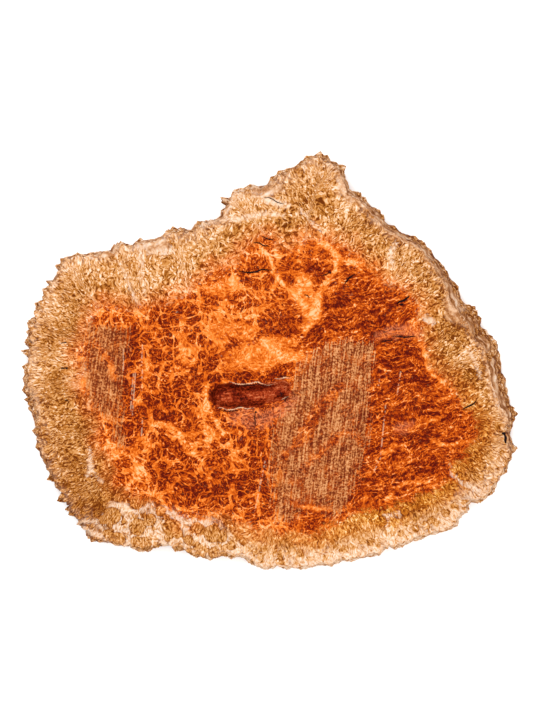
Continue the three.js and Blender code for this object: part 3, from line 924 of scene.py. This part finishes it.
class Graph:
    """A material made of nodes, with what its nodes can read of the board."""

    def __init__(self, name):
        self.material = bpy.data.materials.new(name)
        self.material.use_nodes = True
        self.tree = self.material.node_tree
        self.shader = self.tree.nodes["Principled BSDF"]

    def feed(self, socket, value):
        if isinstance(value, Value):
            self.tree.links.new(value.socket, socket)
        else:
            socket.default_value = value

    def node(self, kind, inputs, output=0, **settings):
        """What a new node gives, once it has its settings and its inputs are fed."""
        node = self.tree.nodes.new("ShaderNode" + kind)
        for name, setting in settings.items():
            setattr(node, name, setting)
        for key, value in inputs.items():
            self.feed(node.inputs[key], value)
        return Value(self, node.outputs[output])

    def field(self, name):
        """What the mesh says of the wood under that name."""
        return self.node("Attribute", {}, "Vector" if name == "flow" else "Fac", attribute_name=name)

    def place(self):
        """The place on the board, in millimetres."""
        return self.node("TexCoord", {}, "Object").scaled(1 / METRES)

    def finished(self, colour, roughness, height, strength, distance):
        """The material with its shader fed, and with bumps from the height."""
        bump = {"Strength": strength, "Distance": distance * METRES, "Height": height}
        self.feed(self.shader.inputs["Base Color"], colour)
        self.feed(self.shader.inputs["Roughness"], roughness)
        self.feed(self.shader.inputs["Normal"], self.node("Bump", bump))
        self.shader.inputs["Specular IOR Level"].default_value = SHINE
        return self.material


class Value:
    """What a node gives, a number, place or colour, with the nodes that can follow it."""

    def __init__(self, graph, socket):
        self.graph = graph
        self.socket = socket

    def math(self, operation, other=0.0):
        return self.graph.node("Math", {0: self, 1: other}, operation=operation)

    def __add__(self, other):
        return self.math("ADD", other)

    def __sub__(self, other):
        return self.math("SUBTRACT", other)

    def __mul__(self, other):
        return self.math("MULTIPLY", other)

    def __abs__(self):
        return self.math("ABSOLUTE")

    def larger(self, other):
        return self.math("MAXIMUM", other)

    def __rsub__(self, other):
        return self.graph.node("Math", {0: other, 1: self}, operation="SUBTRACT")

    def vector(self, operation, other):
        return self.graph.node("VectorMath", {0: self, 1: other}, operation=operation)

    def scaled(self, factor):
        return self.graph.node("VectorMath", {0: self, "Scale": factor}, operation="SCALE")

    def along(self, direction):
        """How far a place lies in a direction."""
        return self.graph.node("VectorMath", {0: self, 1: direction}, "Value", operation="DOT_PRODUCT")

    def step(self, low, high, bottom=0.0, top=1.0):
        """A smooth step from bottom to top as the number goes from low to high."""
        inputs = dict(enumerate((self, low, high, bottom, top)))
        return self.graph.node("MapRange", inputs, interpolation_type="SMOOTHSTEP")

    def blend(self, first, second):
        """The number between first and second that this share of the way gives."""
        return self.graph.node("Mix", {0: self, 2: first, 3: second}, data_type="FLOAT")

    def colour(self, first, second):
        """The colour between first and second that this share of the way gives."""
        return self.graph.node("Mix", {0: self, 6: first, 7: second}, 2, data_type="RGBA")

    def tone(self, tones):
        """The colour that a row of tones has for this number."""
        result = self.graph.node("ValToRGB", {0: self})
        elements = result.socket.node.color_ramp.elements
        while len(elements) < len(tones):
            elements.new(0.5)
        for element, (position, *colour) in zip(elements, tones):
            element.position = position
            element.color = srgb(*colour)
        return result

    def noise(self, size, seed, detail=1.0, rough=0.5, output="Fac"):
        """Noise at this place, from 0 to 1, with features about size millimetres across."""
        place = self.vector("ADD", (SEED_SHIFT[0] * seed, SEED_SHIFT[1] * seed, 0.0))
        inputs = {"Vector": place, "Scale": 1 / size, "Detail": detail, "Roughness": rough}
        return self.graph.node("TexNoise", inputs, output)

    def swing(self, size, seed, detail=1.0, rough=0.5):
        """The same noise, around 0."""
        return self.noise(size, seed, detail, rough) - 0.5

    def cells(self, size, feature="DISTANCE_TO_EDGE", dimensions="2D"):
        """Distance within cells about size millimetres across; flat ones ignore the height."""
        inputs = {"Vector": self, "Scale": 1 / size, "Randomness": CELL_DISORDER}
        return self.graph.node("TexVoronoi", inputs, "Distance", voronoi_dimensions=dimensions,
                               feature=feature)

    def warped(self, size, amount, seed=0):
        """The place pushed about by noise of that size, by up to that amount."""
        push = self.noise(size, seed, output="Color").vector("SUBTRACT", (0.5, 0.5, 0.5))
        return self.vector("ADD", push.scaled(2 * amount))

    def stretched(self, across, along, angle):
        """The place turned by an angle and squeezed, so that noise in it runs in streaks."""
        inputs = {"Vector": self, "Rotation": (0, 0, math.radians(angle)),
                  "Scale": (along, across, along)}
        return self.graph.node("Mapping", inputs, vector_type="TEXTURE")

    def curl_lines(self, size, turns, seed):
        """Thin curled lines, like height lines on rolling ground, from -1 to 1."""
        ground = self.noise(size, seed) * (2 * math.pi * turns)
        return ground.math("SINE").step(-0.7, 0.7, -1.0, 1.0)

    def thin_lines(self, size, seed):
        """Thin meandering lines about size millimetres apart: 1 on a line, 0 off it."""
        return abs(self.swing(size, seed)).step(0.008, 0.07, 1.0, 0.0)

    def vein_net(self, size, half_width, soft):
        """A net of veins between cells about size millimetres across: 1 on a vein, 0 off it."""
        return (self.cells(size) * size - half_width).step(0.0, soft, 1.0, 0.0)


class Heartwood:
    """The heartwood: dark eyes in bright wood, and finer streaks to the right."""

    def __init__(self, g, place, swirl):
        self.field = g.field
        self.place = place
        self.swirl = swirl
        self.crinkled = swirl.warped(3.8, 1.1, 2)
        self.bent = swirl.warped(7.0, 1.9, 2)
        self.fine = self.crinkled.swing(1.8, 9)
        self.curls = self.crinkled.curl_lines(5.6, 5.5, 3)
        self.lines = (self.crinkled.thin_lines(3.8, 18) * 0.26
                      - self.crinkled.thin_lines(3.4, 17) * 0.20)
        self.streaks = self.crinkled.stretched(1.0, 3.6, STREAK_ANGLE).swing(1.7, 6, 1.0, 0.6)
        self.spread = place.noise(20.0, 8, 2.0)
        self.glow = swirl.noise(11.0, 13)

    def eyes(self):
        """Round dark cells with smaller ones in them, and bright wood that widens between them."""
        wide = self.field("open") * 0.55 + self.spread.step(0.3, 0.7, 0.0, 0.75)
        small = self.bent.vein_net(SMALL_EYE, self.glow.step(0.3, 0.7, -0.2, 0.2), 0.45)
        between = self.bent.vein_net(EYE_SIZE, wide.step(0.0, 1.2, -0.15, 0.85), 0.4)
        corner = self.bent.cells(EYE_SIZE, "F1") + wide.step(0.0, 1.2, -0.16, 0.0)
        between = between.larger(corner.step(0.47, 0.53))
        dark = self.spread.step(0.34, 0.66, 0.15, 0.25) + self.curls * 0.13 + self.fine
        dark = dark + small * 0.30 + self.lines
        bright = self.glow.step(0.34, 0.66, 0.56, 0.78) + self.curls * 0.07 + self.fine * 0.8
        lobes = self.swirl.warped(10.0, 3.2, 6)
        wall = lobes.vein_net(LOBE_SIZE, self.glow.step(0.3, 0.7, -1.2, 1.4), 0.9)
        return (wall * 0.8).blend(between.blend(dark, bright), self.fine * 0.9 + 0.74)

    def streaked(self):
        """Fine streaks in broad darker and lighter ones, crossed by small veins."""
        broad = self.swirl.stretched(4.2, 12.0, STREAK_ANGLE).noise(1.3, 7, 2.0)
        veins = self.bent.stretched(0.8, 1.9, STREAK_ANGLE + 10)
        veins = veins.vein_net(5.2, self.glow.step(0.3, 0.7, -0.3, 0.25), 0.4)
        value = self.streaks * 1.1 + broad.step(0.3, 0.7, 0.10, 0.42)
        return value + self.curls * 0.09 + veins * 0.32 + self.lines

    def clear(self):
        """Smooth bright wood with faint streaks."""
        value = self.streaks * 0.6 + self.curls * 0.08 + self.lines * 0.5
        return value + self.glow.step(0.36, 0.6, -0.12, 0.0) + 0.745

    def value(self):
        """Light and dark of the heartwood, from 0 to 1."""
        celled = (self.field("cells") + self.spread * 0.5).step(0.55, 0.95)
        value = celled.blend(self.streaked(), self.eyes())
        clear = (self.field("clear") + (self.spread - 0.5) * 1.6).step(0.1, 0.6)
        value = (clear * 0.85).blend(value, self.clear())
        wobble = self.place.swing(4.5, 1, 3.0, 0.6) * 7.0
        vein = (self.field("vein") + wobble + self.curls * 0.4).step(-1.6, 1.6, 1.0, 0.0)
        broken = self.crinkled.noise(5.5, 14, 2.0, 0.6).step(0.34, 0.60, 0.50, 0.90)
        value = (vein * broken).blend(value, self.fine + self.curls * 0.06 + 0.91)
        hollow = (self.field("dark") + wobble).step(-2.5, 4.0, 1.0, 0.0)
        return value + self.field("heart_tone") - hollow * 0.13


class Sapwood:
    """The sapwood: crinkled fibres running outwards, with brown eyes and cream veins."""

    def __init__(self, g, place, swirl):
        self.field = g.field
        self.place = place
        self.swirl = swirl
        flow = g.field("flow").vector("ADD", place.vector("MULTIPLY", (0.0, 0.0, 1.0)))
        flow = flow.warped(10.0, 3.4, 1).warped(3.4, 1.0, 11)
        self.outward = flow.vector("MULTIPLY", SAP_SQUEEZE)
        self.fibre = self.outward.swing(1.15, 1)
        self.curls = self.outward.curl_lines(4.4, 6.5, 2)
        self.often = place.noise(7.0, 16)
        self.pale = g.field("inward").step(2.0, 24.0, 1.0, 0.0) * g.field("pale")
        self.wobble = place.swing(4.0, 15, 2.0, 0.6) * 4.0
        self.eye_side = g.field("eye") + self.wobble * 0.5
        self.eye = self.eye_side.step(-0.5, 0.5, 1.0, 0.0)

    def fibres(self):
        """Light and dark of plain sapwood."""
        value = self.place.noise(24.0, 12, 3.0, 0.55).step(0.34, 0.64, 0.26, 0.50) + self.fibre
        drift = self.swirl.stretched(5.0, 15.0, SAP_ANGLE).swing(1.0, 19, 2.0)
        value = value + drift * (1 - self.field("cells")) * 0.7 + self.field("tone")
        value = value + self.outward.thin_lines(2.9, 18) * 0.30
        value = value - self.outward.thin_lines(2.6, 17) * 0.36 + self.curls * 0.11
        wall = self.outward.cells(4.0, dimensions="3D").step(0.03, 0.13, 1.0, 0.0)
        return value + wall * self.often.step(0.35, 0.65, 0.06, 0.26)

    def value(self):
        """Light and dark of the sapwood, from 0 to 1, with thorn bases painted in shade and highlight
        near the rim.
        """
        calm = self.field("inward").step(12.0, 40.0, 0.30, 0.0) * self.field("pale")
        value = calm.blend(self.fibres(), 0.58) + self.pale * 0.245
        # Near the rim, thorn bases painted on the flat face: painted shade in the crevices between them,
        # painted highlight on them
        near_rim = (self.field("brink") + self.often * 8.0).step(4.0, 15.0, 1.0, 0.0)
        painted_thorn_shading = self.outward.cells(THORN_SHADING_CELL, dimensions="3D").step(0.02, 0.15, -0.34, 0.10)
        value = value + near_rim * painted_thorn_shading
        eye_tone = self.fibre * 1.3 + self.curls * 0.17 + 0.39
        eye_rim = abs(self.eye_side).step(0.1, 0.9, -0.18, 0.0)
        return (self.eye * 0.85).blend(value, eye_tone) + eye_rim

    def cream(self):
        """Where cream wood lies over it: along the veins, in a net, and between the cells."""
        vein = (self.field("cream") + self.wobble + self.curls * 0.6).step(-1.2, 1.6, 0.9, 0.0)
        half_width = self.often.step(0.3, 0.7, -0.6, 0.7) + self.pale * 1.1
        net = self.swirl.warped(7.0, 2.0, 3).vein_net(CREAM_CELL, half_width, 0.6)
        core = self.swirl.warped(7.0, 2.0, 5).cells(CREAM_CELL - 1, "F1")
        between = (core + self.fibre * 0.5).step(0.40, 0.52)
        web = (self.field("web") + self.wobble * 0.1).step(0.05, 0.35, 0.0, 0.85)
        cream = vein.larger(net * self.pale * 0.85)
        return cream.larger(web.larger(self.pale * 0.72) * between) * (1 - self.eye)


def bark_skin(g, place):
    """Light and dark of the smooth bark skin: soft bands along the edge."""
    bands = g.field("flow").warped(9.0, 3.0, 36).vector("MULTIPLY", SKIN_SQUEEZE)
    return bands.swing(4.2, 35, 2.0) * 2.3 + place.warped(4.0, 1.4).swing(2.0, 37, 2.0, 0.6) * 0.7 + 0.44


def scratches(place):
    """Thin dotted scratches of the saw: 1 on a scratch, 0 off it."""
    found = 0.0
    for x1, y1, x2, y2 in SCRATCHES:
        start = Vector(on_board(x1, y1) + (0,))
        end = Vector(on_board(x2, y2) + (0,))
        along = (end - start).normalized()
        across = Vector((-along.y, along.x, 0))
        beside = abs(place.vector("SUBTRACT", start).along(across))
        beyond = abs(place.vector("SUBTRACT", (start + end) / 2).along(along)) - (end - start).length / 2
        found = beside.larger(beyond).step(0.25, 0.75, 1.0, 0.0).larger(found)
    return found * place.scaled(1 / 1.5).noise(1.3, 26, 0.0).step(0.36, 0.56)


def saw_marks(place):
    """The marks that the saw left, long and thin, with fuzz between them."""
    saw = place.stretched(1.15, 15.0, SAW_ANGLE).noise(1.2, 21, 2.0, 0.6)
    return saw, place.noise(1.6, 22, 1.0, 0.6)


def patch_strength(g, place, saw, fuzz):
    """Where the upper face was left rough, and how strongly its marks cover the figure there."""
    ragged = (saw - 0.5) * 22.0 + (fuzz - 0.5) * 8.0
    rough = (g.field("rough") + ragged).step(-1.5, 3.5)
    worn = (place.noise(11.0, 25, 2.0) + saw * 0.9).step(0.76, 1.06, 0.42, 0.92)
    polished = (g.field("polish") + ragged * 0.25).step(-1.5, 3.5, 0.25, 1.0)
    return rough, rough * worn * polished


def drawn_over(g, colour, place, heartwood, border):
    """The colour of the upper face with scratches, bark skin, stains and pocket on it, a painted
    highlight along the pocket's lips, and painted shade in the cracks.
    """
    field = g.field
    fine = heartwood.fine
    curls = heartwood.curls
    colour = (scratches(place) * 0.5).colour(colour, SCRATCH_COLOUR)
    brim = (field("brink") + border * 0.4).step(0.5, 5.5, 0.8, 0.0) * field("skin_edge")
    skin = (field("skin") + border * 0.6).step(-1.5, 3.0, 0.75, 0.0).larger(brim)
    colour = skin.colour(colour, bark_skin(g, place).tone(SKIN_TONES))
    strand = (curls * 0.5 + fine * 3.0).step(-0.6, 1.0, 0.12, 0.62)
    pink = (field("pink") + border * 0.7).step(-2.5, 4.0, 1.0, 0.0)
    colour = (pink * strand).colour(colour, PINK_COLOUR)
    ribs = place.stretched(1.6, 9.0, 4).swing(1.2, 24, 3.0, 0.6)
    bark = field("dark").step(-1.5, 3.0, 0.26, 0.66) + ribs * 1.1 + curls * 0.12 + fine * 0.9
    colour = field("pocket").step(-0.8, 0.4).colour(colour, bark.tone(POCKET_TONES))
    # A painted highlight along the pocket's lips, broken up by the fine grain
    lip_highlight = field("lip").step(0.1, 0.5) * fine.step(-0.15, 0.08, 0.3, 0.95)
    colour = lip_highlight.colour(colour, LIP_HIGHLIGHT_COLOUR)
    # The cracks are painted dark: painted shade in them
    return field("crack").step(0.15, 0.9).colour(colour, CRACK_SHADE_COLOUR)


def sawn_wood(name, upper):
    """A sawn face of the board; the upper one has its drawn features, the lower is rough all over."""
    g = Graph(name)
    place = g.place()
    swirl = place.warped(*SWIRL)
    heartwood = Heartwood(g, place, swirl)
    sapwood = Sapwood(g, place, swirl)
    border = swirl.swing(9.0, 20, 4.0, 0.62) * RAGGED_BORDER
    within = g.field("heart") + border
    heart = heartwood.value() + within.step(0.0, 14.0, 0.14, 0.0)
    sap = sapwood.value()
    warm = within.step(-17.0, 0.0) * 0.8
    outer = warm.colour(sap.tone(SAPWOOD_TONES), sap.tone(WARM_TONES))
    olive = within.step(-20.0, -6.0) * g.field("olive")
    outer = olive.colour(outer, (sap - 0.06).tone(OLIVE_TONES))
    outer = (sapwood.cream() * 0.85).colour(outer, (sapwood.fibre * 2.4 + 0.5).tone(CREAM_TONES))
    inner = within.step(-6.5, 6.0) + heartwood.fine * 1.1 + heartwood.curls * 0.08
    colour = inner.step(0.08, 0.92).colour(outer, heart.tone(HEARTWOOD_TONES))

    saw, fuzz = saw_marks(place)
    sawn = saw * 0.58 + fuzz * 0.57
    if upper:
        rough, strength = patch_strength(g, place, saw, fuzz)
    else:
        strength = (saw * 0.2 + 0.8) * 0.62
    dusty = sawn.step(0.44, 0.72) + (heart - 0.45) * 0.5 - g.field("cells") * 0.22
    colour = strength.colour(colour, dusty.tone(ROUGH_TONES))
    height = heart + heartwood.fine * 0.6
    if upper:
        colour = drawn_over(g, colour, place, heartwood, border)
        height = height + rough * sawn * 1.5
    else:
        height = height + sawn * 2.5
    return g.finished(colour, sawn.step(0.2, 0.9, 0.50, 0.72), height, 0.35, 0.35)


def natural_edge():
    """The thorny edge: weathered sapwood to the left and below, pink bark skin to the right, with
    painted shade between the thorns and painted highlight on their tips.
    """
    g = Graph("natural_edge")
    place = g.place()
    sapwood = Sapwood(g, place, place.warped(*SWIRL))
    patch = place.noise(12.0, 32, 3.0, 0.55)
    # Painted shade in the crevices between the thorns and painted highlight on their tips, from how far
    # each point stands out
    thorn = g.field("thorn").step(0.05, 0.85, -0.20, 0.12)
    wood = (sapwood.value() + thorn + 0.03).tone(SAPWOOD_TONES)
    cream = (sapwood.fibre * 1.6 + 0.5).tone(CREAM_TONES)
    upper = (place.along((0.0, 0.0, 1.0)) + patch * 24.0).step(*SKIN_LEVEL)
    wood = (sapwood.cream() * upper * 0.8).colour(wood, cream)
    near = g.field("skin").step(1.0, 9.0, 1.0, 0.0) * upper
    share = g.field("skin_edge") * 0.4 + near * 0.45 + (patch - 0.5)
    # The bark skin takes the same painted shade between the thorns and painted highlight on their tips
    skin = (bark_skin(g, place) + thorn * 0.7).tone(SKIN_TONES)
    colour = share.step(0.35, 0.65).colour(wood, skin)
    stain = g.field("flow").noise(8.0, 33, 3.0, 0.6).step(0.54, 0.72, 0.0, 0.3)
    colour = stain.colour(colour, STAIN_COLOUR)
    height = sapwood.fibre + patch * 0.5
    return g.finished(colour, sapwood.fibre.step(-0.3, 0.3, 0.55, 0.8), height, 0.4, 0.5)


# The studio: two large lamps, each with its place and power, and a plain pale floor
LAMP_SIZE = 1.6
LAMPS = (("key", (-0.5, 0.6, 1.9), 34.0), ("fill", (0.5, -0.6, 1.9), 22.0))
FLOOR_REACH = 6.0
FLOOR_GAP = 0.0005             # how far the floor lies under the board
FLOOR_COLOUR = (0.96, 0.96, 0.96, 1)
FLOOR_ROUGHNESS = 0.9

# The camera: a long lens, and the level at which its scale matches the photograph
LENS = 250.0
SENSOR = 36.0
FOCUS_LEVEL = 22.0

# Joining the faces to the edge: how near points are one, and what marks points off the pocket
SEAM_GAP = 0.004
LEAST_SIDE = 0.0005
ON_RIM = 0.01
OFF_POCKET = -9.0

# The patches of the board's map: left, width, bottom and height, and how far apart the strips are
UPPER_PATCH = (0.004, 0.780, 0.340, 0.656)
LOWER_PATCH = (0.004, 0.380, 0.004, 0.320)
EDGE_PATCH = (0.392, 0.598, 0.006, 0.100)
EDGE_STRIPS = 3
STRIP_STEP = 0.108


def add_attribute(mesh, name, values):
    """Writes a number or a place for each point of the mesh."""
    values = np.ascontiguousarray(values, np.float32)
    is_place = values.ndim == 2
    attribute = mesh.attributes.new(name, "FLOAT_VECTOR" if is_place else "FLOAT", "POINT")
    attribute.data.foreach_set("vector" if is_place else "value", values.ravel())


def turned_up(points, faces, up):
    """The faces with every one turned to look up, or down."""
    first, second, third = (points[faces[:, index]] for index in range(3))
    wrong = (np.cross(second - first, third - first) > 0) != up
    return np.where(wrong[:, None], faces[:, ::-1], faces)


def wall_triangles(first_point):
    """The edge's triangles, slanting by turns one way and the other."""
    index = first_point + np.arange((WALL_ROWS + 1) * SAMPLES).reshape(WALL_ROWS + 1, SAMPLES)
    here = index[:-1]
    above = index[1:]
    here_next = np.roll(here, -1, axis=1)
    above_next = np.roll(above, -1, axis=1)
    slant = (np.arange(WALL_ROWS)[:, None] + np.arange(SAMPLES)[None, :]) % 2 == 0
    pairs = (((here, above, here_next), (here, above, above_next)),
             ((here_next, above, above_next), (here, above_next, here_next)))
    halves = [np.where(slant[..., None], np.stack(one, 2), np.stack(other, 2)) for one, other in pairs]
    return np.concatenate([half.reshape(-1, 3) for half in halves])


def on_patch(patch, across, up):
    """Places on a patch of the map, from shares of its width and height."""
    left, width, bottom, height = patch
    return np.stack([left + across * width, bottom + up * height], 1)


def fit_map(mesh, regions, points, turns):
    """One map for the whole board: upper face, underside, and the edge in three strips."""
    low = points.min(0)
    across, up, _ = ((points - low) / (points.max(0) - low)).T
    upper = on_patch(UPPER_PATCH, across, up)
    lower = on_patch(LOWER_PATCH, 1 - across, up)
    loops = np.empty(len(mesh.loops), np.int64)
    mesh.loops.foreach_get("vertex_index", loops)
    region = np.repeat(regions, 3)[:, None]
    face_turns = (turns[loops] % 1).reshape(-1, 3)
    passes_start = (np.ptp(face_turns, axis=1) > 0.5)[:, None]
    face_turns = face_turns + (passes_start & (face_turns < 0.5))
    strip = np.clip((face_turns.min(1) * EDGE_STRIPS).astype(int), 0, EDGE_STRIPS - 1)
    turned = (face_turns * EDGE_STRIPS - strip[:, None]).ravel()
    edge = on_patch(EDGE_PATCH, turned, points[loops, 2] / THICKNESS)
    edge[:, 1] += np.repeat(strip, 3) * STRIP_STEP
    result = np.where(region == 0, upper[loops], np.where(region == 1, edge, lower[loops]))
    layer = mesh.uv_layers.new(name="OFBake")
    layer.uv.foreach_set("vector", result.astype(np.float32).ravel())


def smooth_mesh(name, points, faces, regions):
    """A mesh of points in millimetres, its faces smooth and each with the material of its region."""
    mesh = bpy.data.meshes.new(name)
    mesh.from_pydata(points * METRES, [], faces.tolist())
    mesh.polygons.foreach_set("material_index", regions)
    mesh.polygons.foreach_set("use_smooth", np.ones(len(faces), bool))
    return mesh


def board_mesh():
    """The board as one mesh: upper face, natural edge and underside, with what the wood is like."""
    edge = Edge()
    thorns, middle = thorns_of(edge)
    wall, places = wall_points(edge, thorns, middle)
    cracks = [Crack(*crack) for crack in CRACKS]
    lips = [Crack(*lip) for lip in LIPS]
    top_ring = wall[-1][::-1, :2]
    top, top_heights, top_faces, in_pocket, brink = upper_face(top_ring, cracks, lips, middle)
    top_heights[~far_from(top, [closed(top_ring)], ON_RIM)] = THICKNESS
    low, low_faces = underside(wall[0][::-1, :2])

    low_first = len(top)
    wall_first = len(top) + len(low)
    points = np.vstack([
        np.column_stack([top, top_heights]), np.column_stack([low, np.zeros(len(low))]),
        wall.reshape(-1, 3),
    ])
    parts = (turned_up(top, top_faces, True), turned_up(low, low_faces, False) + low_first,
             wall_triangles(wall_first))
    regions = np.repeat((0, 2, 1), [len(part) for part in parts])
    mesh = smooth_mesh("burl_board_wood", points, np.vstack(parts), regions)

    def on_top(values, elsewhere):
        return np.concatenate([values, np.full(len(points) - len(top), elsewhere)])

    def on_wall(values):
        return np.concatenate([np.zeros(wall_first), values.ravel()])

    fields = board_fields(points[:, :2], edge, middle)
    fields["flow"][wall_first:, 2] = points[wall_first:, 2] - THICKNESS
    fields["inward"][wall_first:] = 0
    relief = np.maximum(value_at(edge.relief, places), 1)
    # How far each point of the edge stands out, which the edge's material turns into painted shade and
    # highlight
    fields["thorn"] = on_wall(thorn_field(edge, thorns, places, wall[:, :, 2]) / relief)
    fields["pocket"] = on_top(in_pocket, OFF_POCKET)
    fields["brink"] = on_top(brink, 0.0)
    fields["crack"] = on_top(deepest(cracks, top), 0.0)
    fields["lip"] = on_top(deepest(lips, top), 0.0)
    for name, values in fields.items():
        add_attribute(mesh, name, values)
    fit_map(mesh, regions, points, on_wall(places / SAMPLES))
    return mesh


def join_seams(mesh):
    """Joins the faces' rims to the edge as one closed surface, with a sharp line where it is sawn."""
    form = bmesh.new()
    form.from_mesh(mesh)
    bmesh.ops.remove_doubles(form, verts=form.verts, dist=SEAM_GAP * METRES)
    bmesh.ops.dissolve_degenerate(form, edges=form.edges, dist=LEAST_SIDE * METRES)
    for side in form.edges:
        side.smooth = len({face.material_index for face in side.link_faces}) == 1
    form.to_mesh(mesh)
    form.free()


def keep_inside(mesh):
    """Holds every point inside the part's own box."""
    places = np.empty(len(mesh.vertices) * 3, np.float32)
    mesh.vertices.foreach_get("co", places)
    places = np.clip(places.reshape(-1, 3), *np.array(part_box("burl_board")))
    mesh.vertices.foreach_set("co", places.ravel())


def place_in_scene(name, data, place=(0, 0, 0)):
    """A new object of the scene, at its place in metres."""
    thing = bpy.data.objects.new(name, data)
    thing.location = place
    bpy.context.scene.collection.objects.link(thing)
    return thing


def burl_board():
    """The board itself: its mesh with its three materials, in place of the part's node."""
    mesh = board_mesh()
    join_seams(mesh)
    keep_inside(mesh)
    materials = (sawn_wood("figured_face", True), natural_edge(), sawn_wood("sawn_underside", False))
    for material in materials:
        mesh.materials.append(material)
    board = place_in_scene("burl_board_wood", mesh)
    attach(board, "root")
    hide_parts("burl_board")


def pale_floor():
    """A plain pale floor just under the board."""
    material = bpy.data.materials.new("floor")
    material.use_nodes = True
    shader = material.node_tree.nodes["Principled BSDF"]
    shader.inputs["Base Color"].default_value = FLOOR_COLOUR
    shader.inputs["Roughness"].default_value = FLOOR_ROUGHNESS
    mesh = bpy.data.meshes.new("floor")
    corners = [(x * FLOOR_REACH, y * FLOOR_REACH, 0) for x, y in ((-1, -1), (1, -1), (1, 1), (-1, 1))]
    mesh.from_pydata(corners, [], [(0, 1, 2, 3)])
    mesh.materials.append(material)
    floor = place_in_scene("floor", mesh, (0, 0, -FLOOR_GAP))


def soft_light():
    """Two large lamps overhead, aimed at the board, in an even pale surround."""
    for name, place, power in LAMPS:
        light = bpy.data.lights.new(name, "AREA")
        light.size = LAMP_SIZE
        light.energy = power
        lamp = place_in_scene(name, light, place)
        lamp.rotation_euler = (-Vector(place)).to_track_quat("-Z", "Y").to_euler()
    world = bpy.data.worlds.new("surround")
    world.use_nodes = True
    world.node_tree.nodes["Background"].inputs["Color"].default_value = (1, 1, 1, 1)
    world.node_tree.nodes["Background"].inputs["Strength"].default_value = 1.0
    bpy.context.scene.world = world
    bpy.context.scene.view_settings.view_transform = "Standard"
    bpy.context.scene.view_settings.look = "None"


def camera():
    """Straight above the board, at the photograph's scale on its upper face."""
    x, y = on_board(FRAME_PIXELS[0] / 2, FRAME_PIXELS[1] / 2)
    distance = FRAME_PIXELS[1] * MM_PER_PIXEL * LENS / SENSOR
    data = bpy.data.cameras.new("camera")
    data.lens = LENS
    data.sensor_width = SENSOR
    data.sensor_height = SENSOR
    data.sensor_fit = "AUTO"
    place = Vector((x, y, FOCUS_LEVEL + distance)) * METRES
    bpy.context.scene.camera = place_in_scene("camera", data, place)


burl_board()
pale_floor()
soft_light()
camera()
